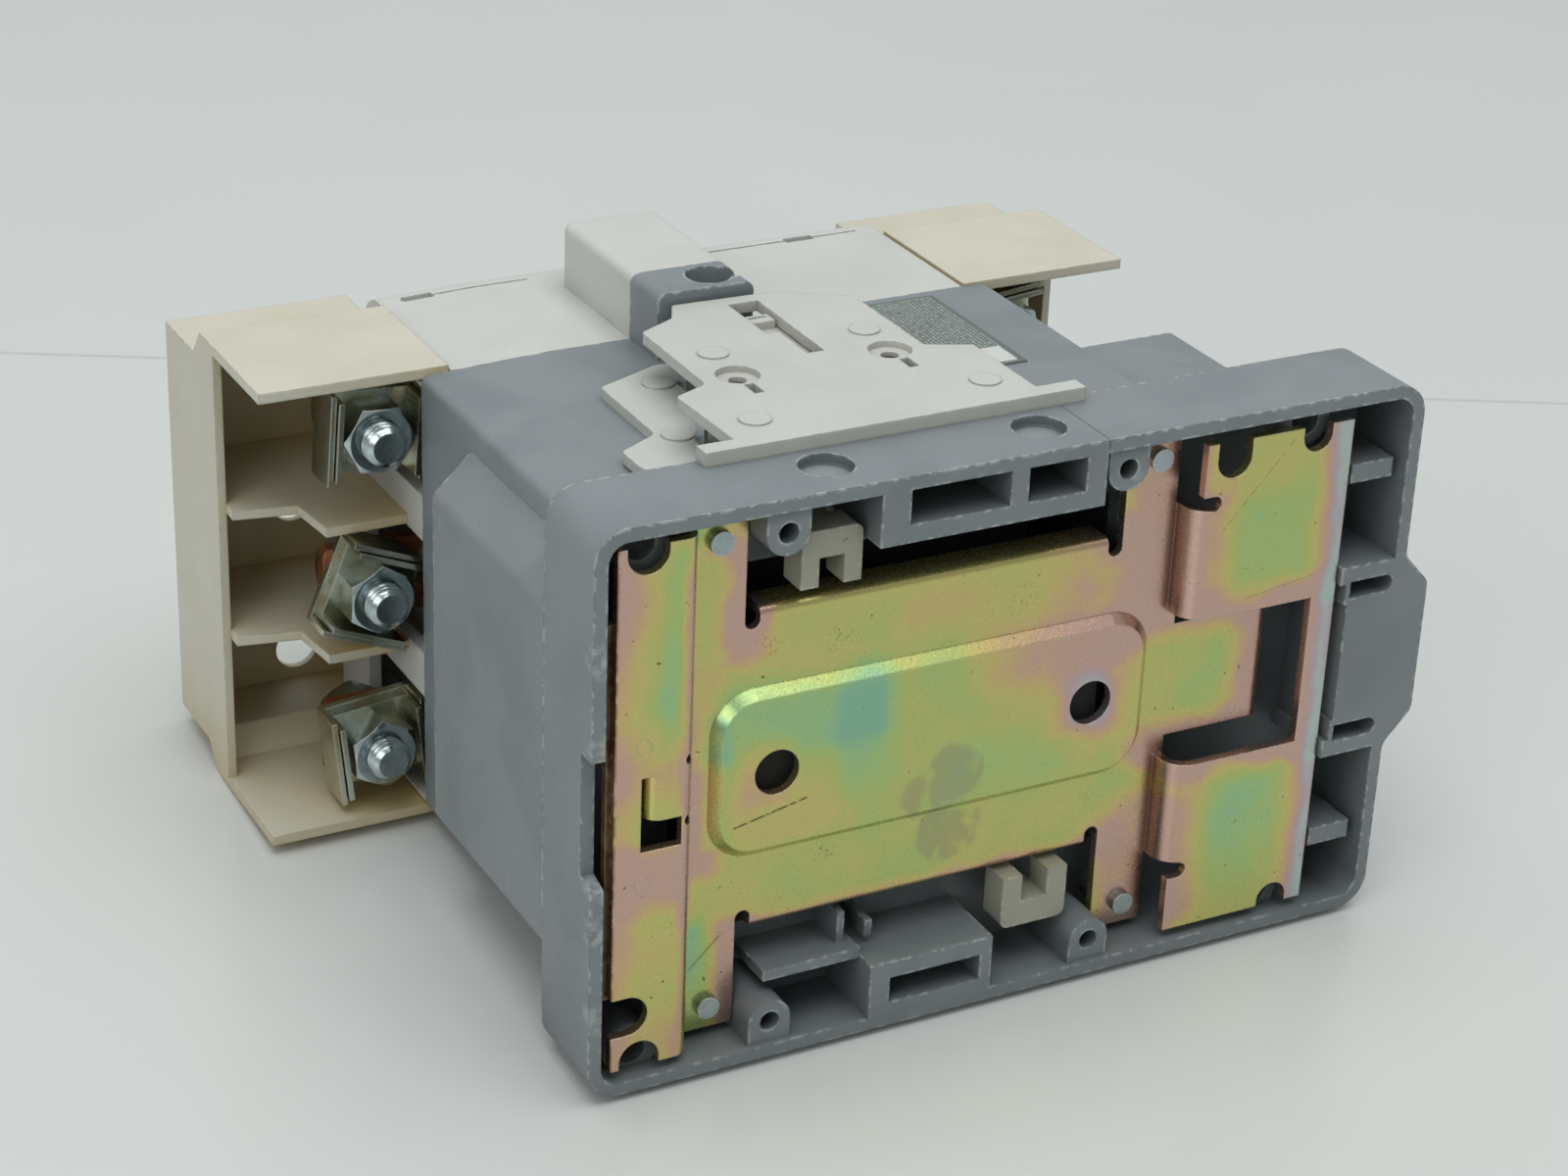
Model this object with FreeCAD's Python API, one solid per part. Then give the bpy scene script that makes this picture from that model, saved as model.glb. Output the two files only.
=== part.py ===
import FreeCAD, Part
import math
import os

from FreeCAD import Vector

# A three-pole magnetic contactor on its moulded base, lying on its side.
# X runs along the base from the line end (-X) to the load end (+X), Y runs from the
# rear rim of the base towards the front of the contactor, and Z runs across the poles.
# The origin is the centre of the four fixing holes, in the plane of the rear rim.
# All sizes are in millimetres.

# Driving dimensions of the moulded base
fixing_spacing_long = 127.0
fixing_hole_r = 2.75
line_edge = 9.85
load_edge = 22.15
side_edge = 5.4
base_depth = 19.0
base_corner_r = 6.0
rim_wall = 2.4
web = 3.5
bulge_reach = 5.6
bulge_half = 13.0
bulge_run = 6.0

# Driving dimensions of the housing, the cover and the poles
pole_pitch = 31.7
pole_side = 12.8
line_step = 7.3
load_step = 35.9
side_step = 8.0
body_fall = 0.9
body_crease = 33.4
ledge_front = 66.0
ledge_side_step = 6.0
ledge_slope_run = 7.2
ledge_slope_drop = 7.0
seam_rise = 3.4
cover_room = 4.2
cover_round = 6.5
wall = 2.5
side_wall = 3.0
running_gap = 0.3
seat_gap = 0.3

# Driving dimensions of the terminals
terminal_out = 7.1
bar_width = 15.0
bar_thick = 3.0
bar_rise = 10.8
bolt_r = 4.0
bolt_hole_r = 4.3
nut_flats = 12.0
nut_height = 6.4
thread_out = 3.6
clamp_side = 16.0
saddle_side = 18.4
ear_thick = 1.0
washer_thick = 1.5

# Driving dimensions of the terminal shrouds
shroud_lap = 5.2
shroud_out = 30.1
shroud_wall = 1.6
shroud_plate = 1.9
shroud_spread = 0.4
shroud_step = 5.0
shroud_proud = 8.5
shroud_wall_back = 26.5
shroud_step_back = 19.7
shroud_slope = 4.0
divider_in = 3.05
divider_thick = 1.8
divider_rise = 7.2
divider_deep_rise = 18.5
divider_wall_rise = 20.7
divider_near_out = 15.65
divider_deep_out = 16.95
tool_hole_r = 4.2

# Driving dimensions of the mounting plate
sheet = 1.8
plate_level = 7.0
strip_level = 1.0
plate_off = 1.8
strip_gap = 4.5
strip_width = 14.0
joggle_run = 2.0
fold_r = 5.0
fold_out = 4.35
raised_gap = 14.25
rim_clear = 1.8
pin_setback = 16.1
pad_past_pin = 0.7
pad_half = 15.8
pad_corner_r = 8.0
pad_height = 1.8
pad_hole_r = 4.15
pad_hole_spacing = 61.3
flange_in = 18.0
flange_off = -0.45
flange_short = 5.55
flange_depth = 6.0
slot_depth = 2.2
slot_r = 1.4
pin_in = 4.5
pin_head_r = 2.1
pin_shank_r = 1.4

# Driving dimensions of the magnet, the coil and the moving parts
stroke = 6.7
follow = 1.7
core_half = 42.0
core_stack = 30.0
core_height = 34.0
core_yoke = 12.0
cushion_thick = 3.2
centre_leg_half = 11.0
outer_leg = 12.0
air_gap_left = 0.3
bobbin_wall = 1.6
bobbin_clear = 0.5
coil_clear = 0.8
coil_inset_x = 1.2
coil_inset_z = 1.5
armature_leg = 11.6
armature_yoke = 13.0
carrier_plate = 5.0
lug_thick = 4.0
stem_half_x = 9.0
stem_half_z = 8.0
stem_rise = 11.5
stem_bar = 2.5
bridge_half = 24.5
bridge_width = 10.0
bridge_thick = 2.5
tip_half = 4.0
tip_height = 1.2
spring_wire_r = 0.7
return_spring_r = 5.0
return_turns = 4
contact_spring_r = 3.2
contact_turns = 3
turn_runs = 10

# Derived places along and across the base
fixing_x = fixing_spacing_long / 2
base_left = -fixing_x - line_edge
base_right = fixing_x + load_edge
body_half_length = (base_right - base_left - line_step - load_step) / 2
works_x = base_left + line_step + body_half_length
body_half_width = pole_pitch + pole_side
base_half = body_half_width + side_step
fixing_z = base_half - side_edge
web_y = base_depth - web
poles = (-pole_pitch, 0.0, pole_pitch)
ends = (-1, 1)

# Derived places of the plate
plate_x = works_x + plate_off
plate_left = base_left + strip_gap
strip_right = plate_left + strip_width
raised_right = base_right - raised_gap
plate_half = base_half - rim_wall - rim_clear
pin_reach = body_half_length - pin_setback
pin_z = plate_half - pin_in
fold_x = plate_x + pin_reach + fold_out
flange_half = plate_half - flange_in
flange_reach = pin_reach - flange_short
flange_x = plate_x + flange_off

# Derived places from the rear to the front
core_back_y = plate_level + sheet + cushion_thick
core_pole_y = core_back_y + core_height
armature_pole_y = core_pole_y + stroke + air_gap_left
armature_yoke_y = armature_pole_y + armature_leg
armature_front = armature_yoke_y + armature_yoke
carrier_front = armature_front + carrier_plate
mid_wall_y = carrier_front + running_gap
mid_wall_front = mid_wall_y + wall
seam_y = mid_wall_front + seam_rise
bar_y = seam_y + bar_rise
bar_front = bar_y + bar_thick
fixed_tip_front = bar_front + tip_height
bridge_rear = fixed_tip_front + running_gap + tip_height + stroke - follow
bridge_front = bridge_rear + bridge_thick
stem_front = bridge_front + stem_rise
cover_front = stem_front + cover_room + wall
shroud_front = cover_front + shroud_proud
bobbin_rear = core_back_y + core_yoke + seat_gap
bobbin_front = armature_yoke_y - stroke - 3 * running_gap

# Derived places of the terminals, the shrouds and the coil
terminal_x = body_half_length + terminal_out
shroud_inner = body_half_length - shroud_lap
shroud_reach = body_half_length + shroud_out
shroud_half = body_half_width + shroud_spread
shroud_step_half = shroud_half - shroud_step
shroud_room = shroud_half - shroud_plate
shroud_step_y = shroud_front - shroud_step_back
return_spring_z = core_stack / 2 + lug_thick + return_spring_r + 2.0
bobbin_half_x = core_half - outer_leg - coil_clear
bobbin_half_z = return_spring_z + return_spring_r + 2.0
parts = {}


def box(x0, x1, y0, y1, z0, z1):
    """Block between two corners."""
    return Part.makeBox(x1 - x0, y1 - y0, z1 - z0, Vector(x0, y0, z0))


def rod(x, z, r, y0, y1):
    """Cylinder along Y."""
    return Part.makeCylinder(r, y1 - y0, Vector(x, y0, z), Vector(0, 1, 0))


def post(x, y, r, z0, z1):
    """Cylinder along Z."""
    return Part.makeCylinder(r, z1 - z0, Vector(x, y, z0), Vector(0, 0, 1))


def face_of(points):
    """Flat face through a closed row of points."""
    return Part.Face(Part.makePolygon(points + [points[0]]))


def slab_y(outline, y0, y1):
    """Outline in X and Z, extruded along Y."""
    return face_of([Vector(x, y0, z) for x, z in outline]).extrude(Vector(0, y1 - y0, 0))


def slab_z(outline, z0, z1):
    """Outline in X and Y, extruded along Z."""
    return face_of([Vector(x, y, z0) for x, y in outline]).extrude(Vector(0, 0, z1 - z0))


def slab_x(outline, x0, x1):
    """Outline in Y and Z, extruded along X."""
    return face_of([Vector(x0, y, z) for y, z in outline]).extrude(Vector(x1 - x0, 0, 0))


def rounded(shape, r, pick):
    """Fillet of the edges that pick chooses by their middle point and direction."""
    chosen = []
    for edge in shape.Edges:
        if isinstance(edge.Curve, Part.Line):
            middle = edge.CenterOfMass
            if pick(middle, edge.tangentAt(edge.FirstParameter)):
                chosen.append(edge)
    return shape.makeFillet(r, chosen)


def along(axis):
    """Test for an edge's direction: 0 for X, 1 for Y and 2 for Z."""
    return lambda tangent: abs(tangent[axis]) > 0.999


def pad_y(x0, x1, y0, y1, z0, z1, r):
    """Block with its four edges along Y rounded."""
    return rounded(box(x0, x1, y0, y1, z0, z1), r, lambda m, t: along(1)(t))


def joined(first, *others):
    """One solid from touching pieces, with its split faces merged."""
    return first.fuse(list(others)).removeSplitter()


def add(name, *shapes):
    """Keep a piece, or a group of like pieces, under its node's name."""
    parts[name] = shapes[0] if len(shapes) == 1 else Part.makeCompound(list(shapes))


# Rear base
boss_z = base_half - 6.5
boss_r = 4.0
boss_reach = flange_reach - boss_r - 0.2
boss_hole_r = 1.8
boss_hole_depth = web_y - 1.5
boss_places = (flange_x - boss_reach, flange_x + boss_reach)
fixing_post_r = 5.0
fixing_post_y = 4.6
pin_post_r = 3.2
opening_reach = core_half + 1.0
opening_off = -0.85
opening_half = base_half - 18.0
channel_left = works_x - 14.35
channel_right = works_x + 28.45
channel_low_left = works_x - 11.85
channel_low_right = works_x + 12.65
channel_half = base_half - 11.9
channel_low_half = base_half - 13.0
window_wall = 3.3
window_left = works_x - 8.95
window_mid_left = works_x + 9.85
window_mid_right = works_x + 13.25
window_right = works_x + 24.45
window_low_left = works_x - 7.85
window_low_right = works_x + 10.25
window_low_near = base_half - 9.7
window_low_far = base_half - 4.8
latch_notch_low = -10.5
latch_notch_high = 12.2
latch_notch_depth = 4.0
latch_bevel = 1.6
shelf_y = 4.0
shelf_far = base_half - 12.6
shelf_near = base_half - 14.6
shelf_ribs = ((works_x - 8.7, base_half - 17.7, 7.0), (works_x - 14.25, base_half - 20.7, 7.0))
shelf_rib = 1.4
end_rib_x = base_right - 13.15
end_rib_right = base_right - 4.35
end_rib_near = base_half - 17.8
end_rib_far = base_half - 14.2
end_rib_y = 1.6
panel_left = base_right - 12.65
panel_half = 15.6
panel_wall = 3.4
panel_lip = 1.2
panel_slot_near = 12.8
panel_slot_far = 16.0
panel_slot_left = 1.0
panel_slot_right = 8.6
panel_slot_depth = 6.0
disc_places = (works_x - 19.85, works_x + 20.35)
disc_y = base_depth / 2 - 0.1
disc_r = 4.7
disc_depth = 2.0


def fixing_places():
    """Centres of the four fixing holes, in X and Z."""
    return [(sx * fixing_x, sz * fixing_z) for sx in ends for sz in ends]


def base_outline():
    """Outer outline of the base, with the grip bulge of the load end."""
    right = base_right
    out = base_right + bulge_reach
    return [(base_left, -base_half), (right, -base_half), (right, -bulge_half - bulge_run),
            (out, -bulge_half), (out, bulge_half), (right, bulge_half + bulge_run),
            (right, base_half), (base_left, base_half)]


def rear_base():
    """Open rectangular moulding with a deep rim, posts, channels and end ribs."""
    body = slab_y(base_outline(), 0, base_depth)
    body = rounded(body, base_corner_r, lambda m, t: along(1)(t) and abs(abs(m.z) - base_half) < 0.01)
    body = rounded(body, 3.0, lambda m, t: along(1)(t) and m.x > base_right - 0.01 and abs(m.z) < base_half - 8)
    cavity = pad_y(base_left + rim_wall, base_right - rim_wall, -1, web_y,
                   -base_half + rim_wall, base_half - rim_wall, base_corner_r - rim_wall)
    body = body.cut(cavity)
    opening_x = works_x + opening_off
    body = body.cut(box(opening_x - opening_reach, opening_x + opening_reach, web_y - 1, base_depth + 1,
                        -opening_half, opening_half))
    # Latch notch in the rim of the line end, bevelled at its lower end
    notch_shape = [(-1, latch_notch_low - latch_bevel), (latch_notch_depth, latch_notch_low),
                   (latch_notch_depth, latch_notch_high), (-1, latch_notch_high)]
    body = body.cut(slab_x(notch_shape, base_left - 1, base_left + rim_wall + 1))
    added = []
    inner = base_half - rim_wall
    for x in boss_places:
        for side in ends:
            added.append(rod(x, side * boss_z, boss_r, strip_level, web_y + 1))
            low, high = sorted((side * boss_z, side * (inner + 1)))
            added.append(box(x - boss_r, x + boss_r, strip_level, web_y + 1, low, high))
    for x, z in fixing_places():
        added.append(rod(x, z, fixing_post_r, fixing_post_y, web_y + 1))
    for x in (plate_x - pin_reach, plate_x + pin_reach):
        for side in ends:
            added.append(rod(x, side * pin_z, pin_post_r, plate_level + sheet, web_y + 1))
    # Channel boxes along the long sides, between the screw bosses
    added.append(box(channel_left, channel_right, 0, web_y + 1, channel_half, inner + 1))
    added.append(box(channel_low_left, channel_low_right, 0, web_y + 1, -inner - 1, -channel_low_half))
    # Ribs and the flush panel of the load end
    for side in ends:
        low, high = sorted((side * end_rib_near, side * end_rib_far))
        added.append(box(end_rib_x, end_rib_right, end_rib_y, web_y + 1, low, high))
    added.append(box(panel_left, base_right, 0, web_y + 1, -panel_half, panel_half))
    for side in ends:
        low, high = sorted((side * panel_half, side * (panel_half + panel_wall)))
        added.append(box(panel_left - panel_lip, base_right - rim_wall + 1, 0, web_y + 1, low, high))
    body = body.fuse(added)
    cuts = []
    for x in boss_places:
        for side in ends:
            cuts.append(rod(x, side * boss_z, boss_hole_r, strip_level - 1, boss_hole_depth))
    for x, z in fixing_places():
        cuts.append(rod(x, z, fixing_hole_r, -1, base_depth + 1))
    cuts.append(box(window_left, window_mid_left, -1, web_y, channel_half + window_wall, inner))
    cuts.append(box(window_mid_right, window_right, -1, web_y, channel_half + window_wall, inner))
    cuts.append(box(window_low_left, window_low_right, -1, web_y, -window_low_far, -window_low_near))
    slot_end = (panel_slot_far - panel_slot_near) / 2
    for side in ends:
        low, high = sorted((side * panel_slot_near, side * panel_slot_far))
        x0, x1 = panel_left + panel_slot_left, panel_left + panel_slot_right
        cuts.append(box(x0, x1, -1, panel_slot_depth, low, high))
        cuts.append(rod(panel_left + panel_slot_right, (low + high) / 2, slot_end, -1, panel_slot_depth))
    cuts.append(box(panel_left - 1, panel_left + 0.6, -1, 9.0, -panel_slot_near + 1.2, panel_slot_near - 1.2))
    for x in disc_places:
        cuts.append(post(x, disc_y, disc_r, base_half - disc_depth, base_half + 1))
    body = body.cut(cuts)
    # Wall with two rib ends, between the lower boss and the channel
    shelf = [box(boss_places[0], channel_low_left + 0.1, shelf_y, web_y + 1, -shelf_far, -shelf_near)]
    for x, top, y in shelf_ribs:
        shelf.append(box(x - shelf_rib / 2, x + shelf_rib / 2, y, web_y + 1, -shelf_near - 0.1, -top))
    return body.fuse(shelf).removeSplitter()


add("rear_base", rear_base())

# Mounting plate, pressed from one sheet
strip_window = (plate_left + 4.85, plate_left + 12.25, -6.9, 6.9)
curl_r = 3.2
curl_low = -1.6
cut_left = fold_x - 1.6
cut_right = raised_right - 5.0
cut_low = -14.8
cut_high = 14.0
cut_corner_r = 3.0
tongue_right = cut_right - 4.0
tongue_low = -11.1
tongue_high = cut_high - 2.9
tongue_bend = 6.0
tab_left = fold_x + 1.5
tab_low = plate_half - 13.6
tab_high = plate_half - 0.9
relief_width = 2.9
relief_end = fold_x + 5.2
notch_r = 3.7
fixing_notches = {(-1, -1): (0.0, 0.0, notch_r), (-1, 1): (0.0, 0.0, notch_r),
                  (1, -1): (1.4, -0.1, 3.15), (1, 1): (0.5, -1.5, 3.0)}
spare_r = 3.5
spare_right_x = fixing_x - 16.6
spare_right_z = fixing_z - 3.0
spare_left_x = -fixing_x - 2.3
spare_left_z = -fixing_z + 9.1
rivet_x = plate_left + 5.35
rivets_z = (12.4, -13.2)
rivet_r = 1.4
lobe_x = strip_right - 0.15
lobes_z = (8.5, -2.8)


def arc_to(start, through, end):
    """Arc edge through three places in X and Y."""
    return Part.Arc(Vector(*start, 0), Vector(*through, 0), Vector(*end, 0)).toShape()


def quarter(centre, r, angle):
    """Place on a circle of the fold's section, at an angle in degrees."""
    return (centre[0] + r * math.cos(math.radians(angle)), centre[1] + r * math.sin(math.radians(angle)))


def folded_sheet(z0, z1):
    """Middle sheet with its rolled fold up to the raised end, between two sides."""
    level = plate_level
    centre = (fold_x + 0.2 + fold_r, strip_level + fold_r)
    inner_r = fold_r - sheet
    rear = [(strip_right + joggle_run, level), (fold_x + 0.2, level), quarter(centre, fold_r, 180)]
    front = [(raised_right, strip_level + sheet), quarter(centre, inner_r, 270)]
    back = [quarter(centre, inner_r, 180), (fold_x + 0.2 + sheet, level + sheet),
            (strip_right + joggle_run, level + sheet), (strip_right, strip_level + sheet),
            (plate_left, strip_level + sheet), (plate_left, strip_level), (strip_right, strip_level), rear[0]]
    edges = [Part.makeLine(Vector(*a, 0), Vector(*b, 0)) for a, b in zip(rear, rear[1:])]
    edges.append(arc_to(rear[-1], quarter(centre, fold_r, 225), quarter(centre, fold_r, 270)))
    last = [quarter(centre, fold_r, 270), (raised_right, strip_level), front[0], front[1]]
    edges += [Part.makeLine(Vector(*a, 0), Vector(*b, 0)) for a, b in zip(last, last[1:])]
    edges.append(arc_to(front[1], quarter(centre, inner_r, 225), back[0]))
    edges += [Part.makeLine(Vector(*a, 0), Vector(*b, 0)) for a, b in zip(back, back[1:])]
    face = Part.Face(Part.Wire(edges))
    face.translate(Vector(0, 0, z0))
    solid = face.extrude(Vector(0, 0, z1 - z0))
    joggle = {strip_right: 2.6, strip_right + joggle_run: 1.6}
    for x, r in joggle.items():
        solid = rounded(solid, r, lambda m, t: along(2)(t) and abs(m.x - x) < 0.01)
    return solid


def notch(x, z, r, dx, dz):
    """Round notch at a place, open in the direction given."""
    reach = 12.0
    hole = rod(x, z, r, -1, plate_level + sheet + 1)
    if dz:
        x0, x1 = x - r, x + r
        z0, z1 = sorted((z, z + dz * reach))
    else:
        x0, x1 = sorted((x, x + dx * reach))
        z0, z1 = z - r, z + r
    return joined(hole, box(x0, x1, -1, plate_level + sheet + 1, z0, z1))


def mounting_plate():
    """Joggled sheet with a raised pad, bent flanges, relief slots and notches."""
    low, high = -1, plate_level + sheet + 1
    # Beyond the relief slots the sheet is cut from the fold, and only flat legs and tabs are left
    plate = folded_sheet(-tab_low, tab_low)
    sides = folded_sheet(-plate_half, plate_half)
    sides = sides.cut([box(fold_x, raised_right + 1, low, high, -plate_half - 1, plate_half + 1),
                       box(plate_left - 1, raised_right, low, high, -tab_low, tab_low)])
    tabs = []
    for z0, z1 in ((-plate_half, -tab_low), (tab_low, tab_high)):
        tabs.append(box(tab_left, raised_right, strip_level, strip_level + sheet, z0, z1))
    plate = joined(plate, sides, *tabs)
    cuts = []
    for side in ends:
        # Relief of the long edges, down to the bent flanges
        z0, z1 = sorted((side * flange_half, side * (plate_half + 1)))
        cuts.append(box(flange_x - flange_reach, flange_x + flange_reach, low, high, z0, z1))
        for x in (flange_x - flange_reach + slot_r, flange_x + flange_reach - slot_r):
            z0, z1 = sorted((side * (flange_half - slot_depth), side * (plate_half + 1)))
            cuts.append(box(x - slot_r, x + slot_r, low, high, z0, z1))
            cuts.append(rod(x, side * (flange_half - slot_depth), slot_r, low, high))
        # Relief slots between the fold and the tabs
        z0, z1 = sorted((side * tab_low, side * (tab_low + relief_width)))
        cuts.append(box(fold_x, relief_end - relief_width / 2, low, high, z0, z1))
        middle = tab_low + relief_width / 2
        cuts.append(rod(relief_end - relief_width / 2, side * middle, relief_width / 2, low, high))
    # Cut-out of the raised end round the tongue, with a round end in the fold
    cut_out = box(cut_left, cut_right, low, plate_level - 0.01, cut_low, cut_high)
    cuts.append(rounded(cut_out, cut_corner_r, lambda m, t: along(1)(t) and m.x < cut_left + 1 and m.z < 0))
    # Notches over the fixing holes and the spare holes
    for (end, side), (dx, dz, r) in fixing_notches.items():
        cuts.append(notch(end * fixing_x + dx, side * fixing_z + dz, r, 0, side))
    cuts.append(notch(spare_right_x, spare_right_z, spare_r, 0, 1))
    cuts.append(notch(spare_left_x, spare_left_z, notch_r, -1, 0))
    window_x0, window_x1, window_z0, window_z1 = strip_window
    cuts.append(box(window_x0, window_x1, low, high, window_z0, window_z1))
    for z in lobes_z:
        cuts.append(rod(lobe_x, z, 1.0, low, high))
    plate = plate.cut(cuts)
    tongue = box(fold_x - 1, tongue_right, plate_level, plate_level + sheet, tongue_low, tongue_high)
    bend = box(tongue_right - sheet, tongue_right, plate_level, plate_level + tongue_bend, tongue_low, tongue_high)
    tongue = rounded(joined(tongue, bend), 2.6, lambda m, t: along(2)(t) and m.x > tongue_right - 0.01
                     and m.y < plate_level + 0.01)
    pad_reach = pin_reach + pad_past_pin
    pad = pad_y(plate_x - pad_reach, plate_x + pad_reach, plate_level - pad_height, plate_level + 0.2,
                -pad_half, pad_half, pad_corner_r)
    pad = pad.makeChamfer(pad_height * 0.9, [e for e in pad.Edges if abs(e.CenterOfMass.y
                          - (plate_level - pad_height)) < 0.01])
    hollow = pad_y(plate_x - pad_reach + sheet, plate_x + pad_reach - sheet, plate_level - pad_height + sheet,
                   plate_level + sheet + 0.2, -pad_half + sheet, pad_half - sheet, pad_corner_r - sheet)
    flanges = []
    for side in ends:
        z0, z1 = sorted((side * (flange_half - sheet), side * flange_half))
        reach = flange_reach - 2 * slot_r
        flanges.append(box(flange_x - reach, flange_x + reach, plate_level, plate_level + flange_depth, z0, z1))
    # Curled tongue in the window of the left strip
    bend_x = window_x1 - curl_r
    curl_place = Vector(bend_x, strip_level + curl_r, curl_low)
    curl = Part.makeCylinder(curl_r, window_z1 - curl_low, curl_place, Vector(0, 0, 1))
    curl = curl.cut(Part.makeCylinder(curl_r - sheet, window_z1 - curl_low, curl_place, Vector(0, 0, 1)))
    curl = curl.cut(box(bend_x, window_x1 + 1, strip_level + curl_r, strip_level + 3 * curl_r,
                        curl_low - 1, window_z1 + 1))
    curl = curl.fuse(box(bend_x, window_x1 + 0.5, strip_level, strip_level + sheet, curl_low, window_z1))
    plate = plate.fuse([tongue, pad] + flanges + [curl]).removeSplitter()
    # Rolled edges where the flanges leave the sheet
    plate = rounded(plate, 1.4, lambda m, t: along(0)(t) and abs(m.y - plate_level) < 0.01
                    and abs(abs(m.z) - flange_half) < 0.01 and abs(m.x - flange_x) < 1.0)
    holes = [hollow]
    for side in ends:
        holes.append(rod(plate_x + side * pad_hole_spacing / 2, 0, pad_hole_r, low, high))
    for x in (plate_x - pin_reach, plate_x + pin_reach):
        for side in ends:
            holes.append(rod(x, side * pin_z, pin_shank_r, low, high))
    for z in rivets_z:
        holes.append(rod(rivet_x, z, rivet_r, low, high))
    return plate.cut(holes).removeSplitter()


add("mounting_plate", mounting_plate())

# Pins that hold the plate to the posts of the base
pin_head = 1.3


def plate_pin(x, z):
    """Round-headed pin through the plate, into its post."""
    head = rod(x, z, pin_head_r, plate_level - pin_head, plate_level)
    return joined(head, rod(x, z, pin_shank_r, plate_level, plate_level + sheet))


add("plate_pins", *[plate_pin(plate_x + end * pin_reach, side * pin_z) for end in ends for side in ends])

# Strip riveted behind the left end of the plate
backing_thick = 1.5
backing_half = plate_half - 13.5


def backing_strip():
    """Plain steel strip with a window behind the plate's own window."""
    x0, x1, z0, z1 = strip_window
    rear = strip_level + sheet
    strip = box(plate_left - 0.7, strip_right - 2.1, rear, rear + backing_thick, -backing_half, backing_half)
    cuts = [box(x0 - 0.6, x1 + 3.0, rear - 1, rear + 3, z0 - 1.0, z1 + 1.0)]
    for z in rivets_z:
        cuts.append(rod(rivet_x, z, rivet_r, rear - 1, rear + 3))
    return strip.cut(cuts)


def strip_rivet(z):
    """Rivet with a flush head, through the plate and the strip behind it."""
    return rod(rivet_x, z, rivet_r, strip_level, strip_level + sheet + backing_thick)


add("backing_strip", backing_strip())
add("strip_rivets", *[strip_rivet(z) for z in rivets_z])

# U-shaped clips that locate the magnet
clip_bar = 5.0
clip_near_y = 4.2
clip_thick = 6.0
clip_height = 10.2
upper_clip = (flange_x - flange_reach + 14.05, 11.2, 3.3, flange_half + 3.2)
lower_clip = (flange_x + flange_reach - 14.35, 13.2, 4.0, flange_half + 1.1)


def core_clip(side, x, width, leg, start):
    """Moulded U with its legs towards the middle of the base, on a foot."""
    end = start + clip_height
    z0, z1 = sorted((side * start, side * end))
    u = box(x - width / 2, x + width / 2, clip_near_y, clip_near_y + clip_thick, z0, z1)
    u = rounded(u, 1.6, lambda m, t: along(1)(t) and abs(abs(m.z) - end) < 0.01)
    low, high = sorted((side * (start - 1), side * (end - clip_bar)))
    gap = width / 2 - leg
    u = u.cut(box(x - gap, x + gap, clip_near_y - 1, clip_near_y + clip_thick + 1, low, high))
    low, high = sorted((side * (end - clip_bar), side * end))
    foot = box(x - gap, x + gap, clip_near_y + clip_thick - 0.1, web_y, low, high)
    return joined(u, foot)


add("core_clip_upper", core_clip(1, *upper_clip))
add("core_clip_lower", core_clip(-1, *lower_clip))

# Main housing
cavity_half_length = body_half_length - wall
cavity_half_width = body_half_width - side_wall
ledge_wall = 2.5
ledge_top_half = body_half_width - ledge_side_step
ledge_half = ledge_top_half - ledge_slope_drop
stem_slot = running_gap + 0.3
hump_left = works_x - 17.4
hump_right = works_x + 1.65
hump_half_z = body_half_width + 12.5
hump_length = 11.4
hump_near_y = seam_y - hump_length
well_x = works_x - 4.65
well_y = seam_y - 5.6
well_r = 4.2
well_side_x = 4.4
well_side_r = 2.6
well_depth = 6.5
insulator_half = 7.0
insulator_in = body_half_length - 19.9
insulator_out = body_half_length - 4.6
screw_x = body_half_length - 9.9
screw_z = pole_pitch / 2
screw_post_r = 3.6
screw_hole_r = 1.7
side_clear_r = 5.2


def body_outline():
    """Outline of the body across the poles, falling gently towards the line end."""
    top = [(works_x - body_half_length, body_half_width - body_fall),
           (works_x - body_crease, body_half_width), (works_x + body_half_length, body_half_width)]
    return top + [(x, -z) for x, z in reversed(top)]


def ledge_outline():
    """Outline of the wide lower block, with a sloping shoulder at both ends."""
    right = base_right
    top = [(base_left, ledge_half), (base_left + ledge_slope_run, ledge_top_half),
           (right - ledge_slope_run - 1.5, ledge_top_half), (right, ledge_half)]
    return top + [(x, -z) for x, z in reversed(top)]


def hump(y0, y1):
    """Raised block over the middle of the upper long side, between two depths."""
    block = box(hump_left, hump_right, y0, y1, body_half_width - 1.5, hump_half_z)
    return rounded(block, 1.8, lambda m, t: along(1)(t) and m.z > hump_half_z - 0.01)


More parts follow.
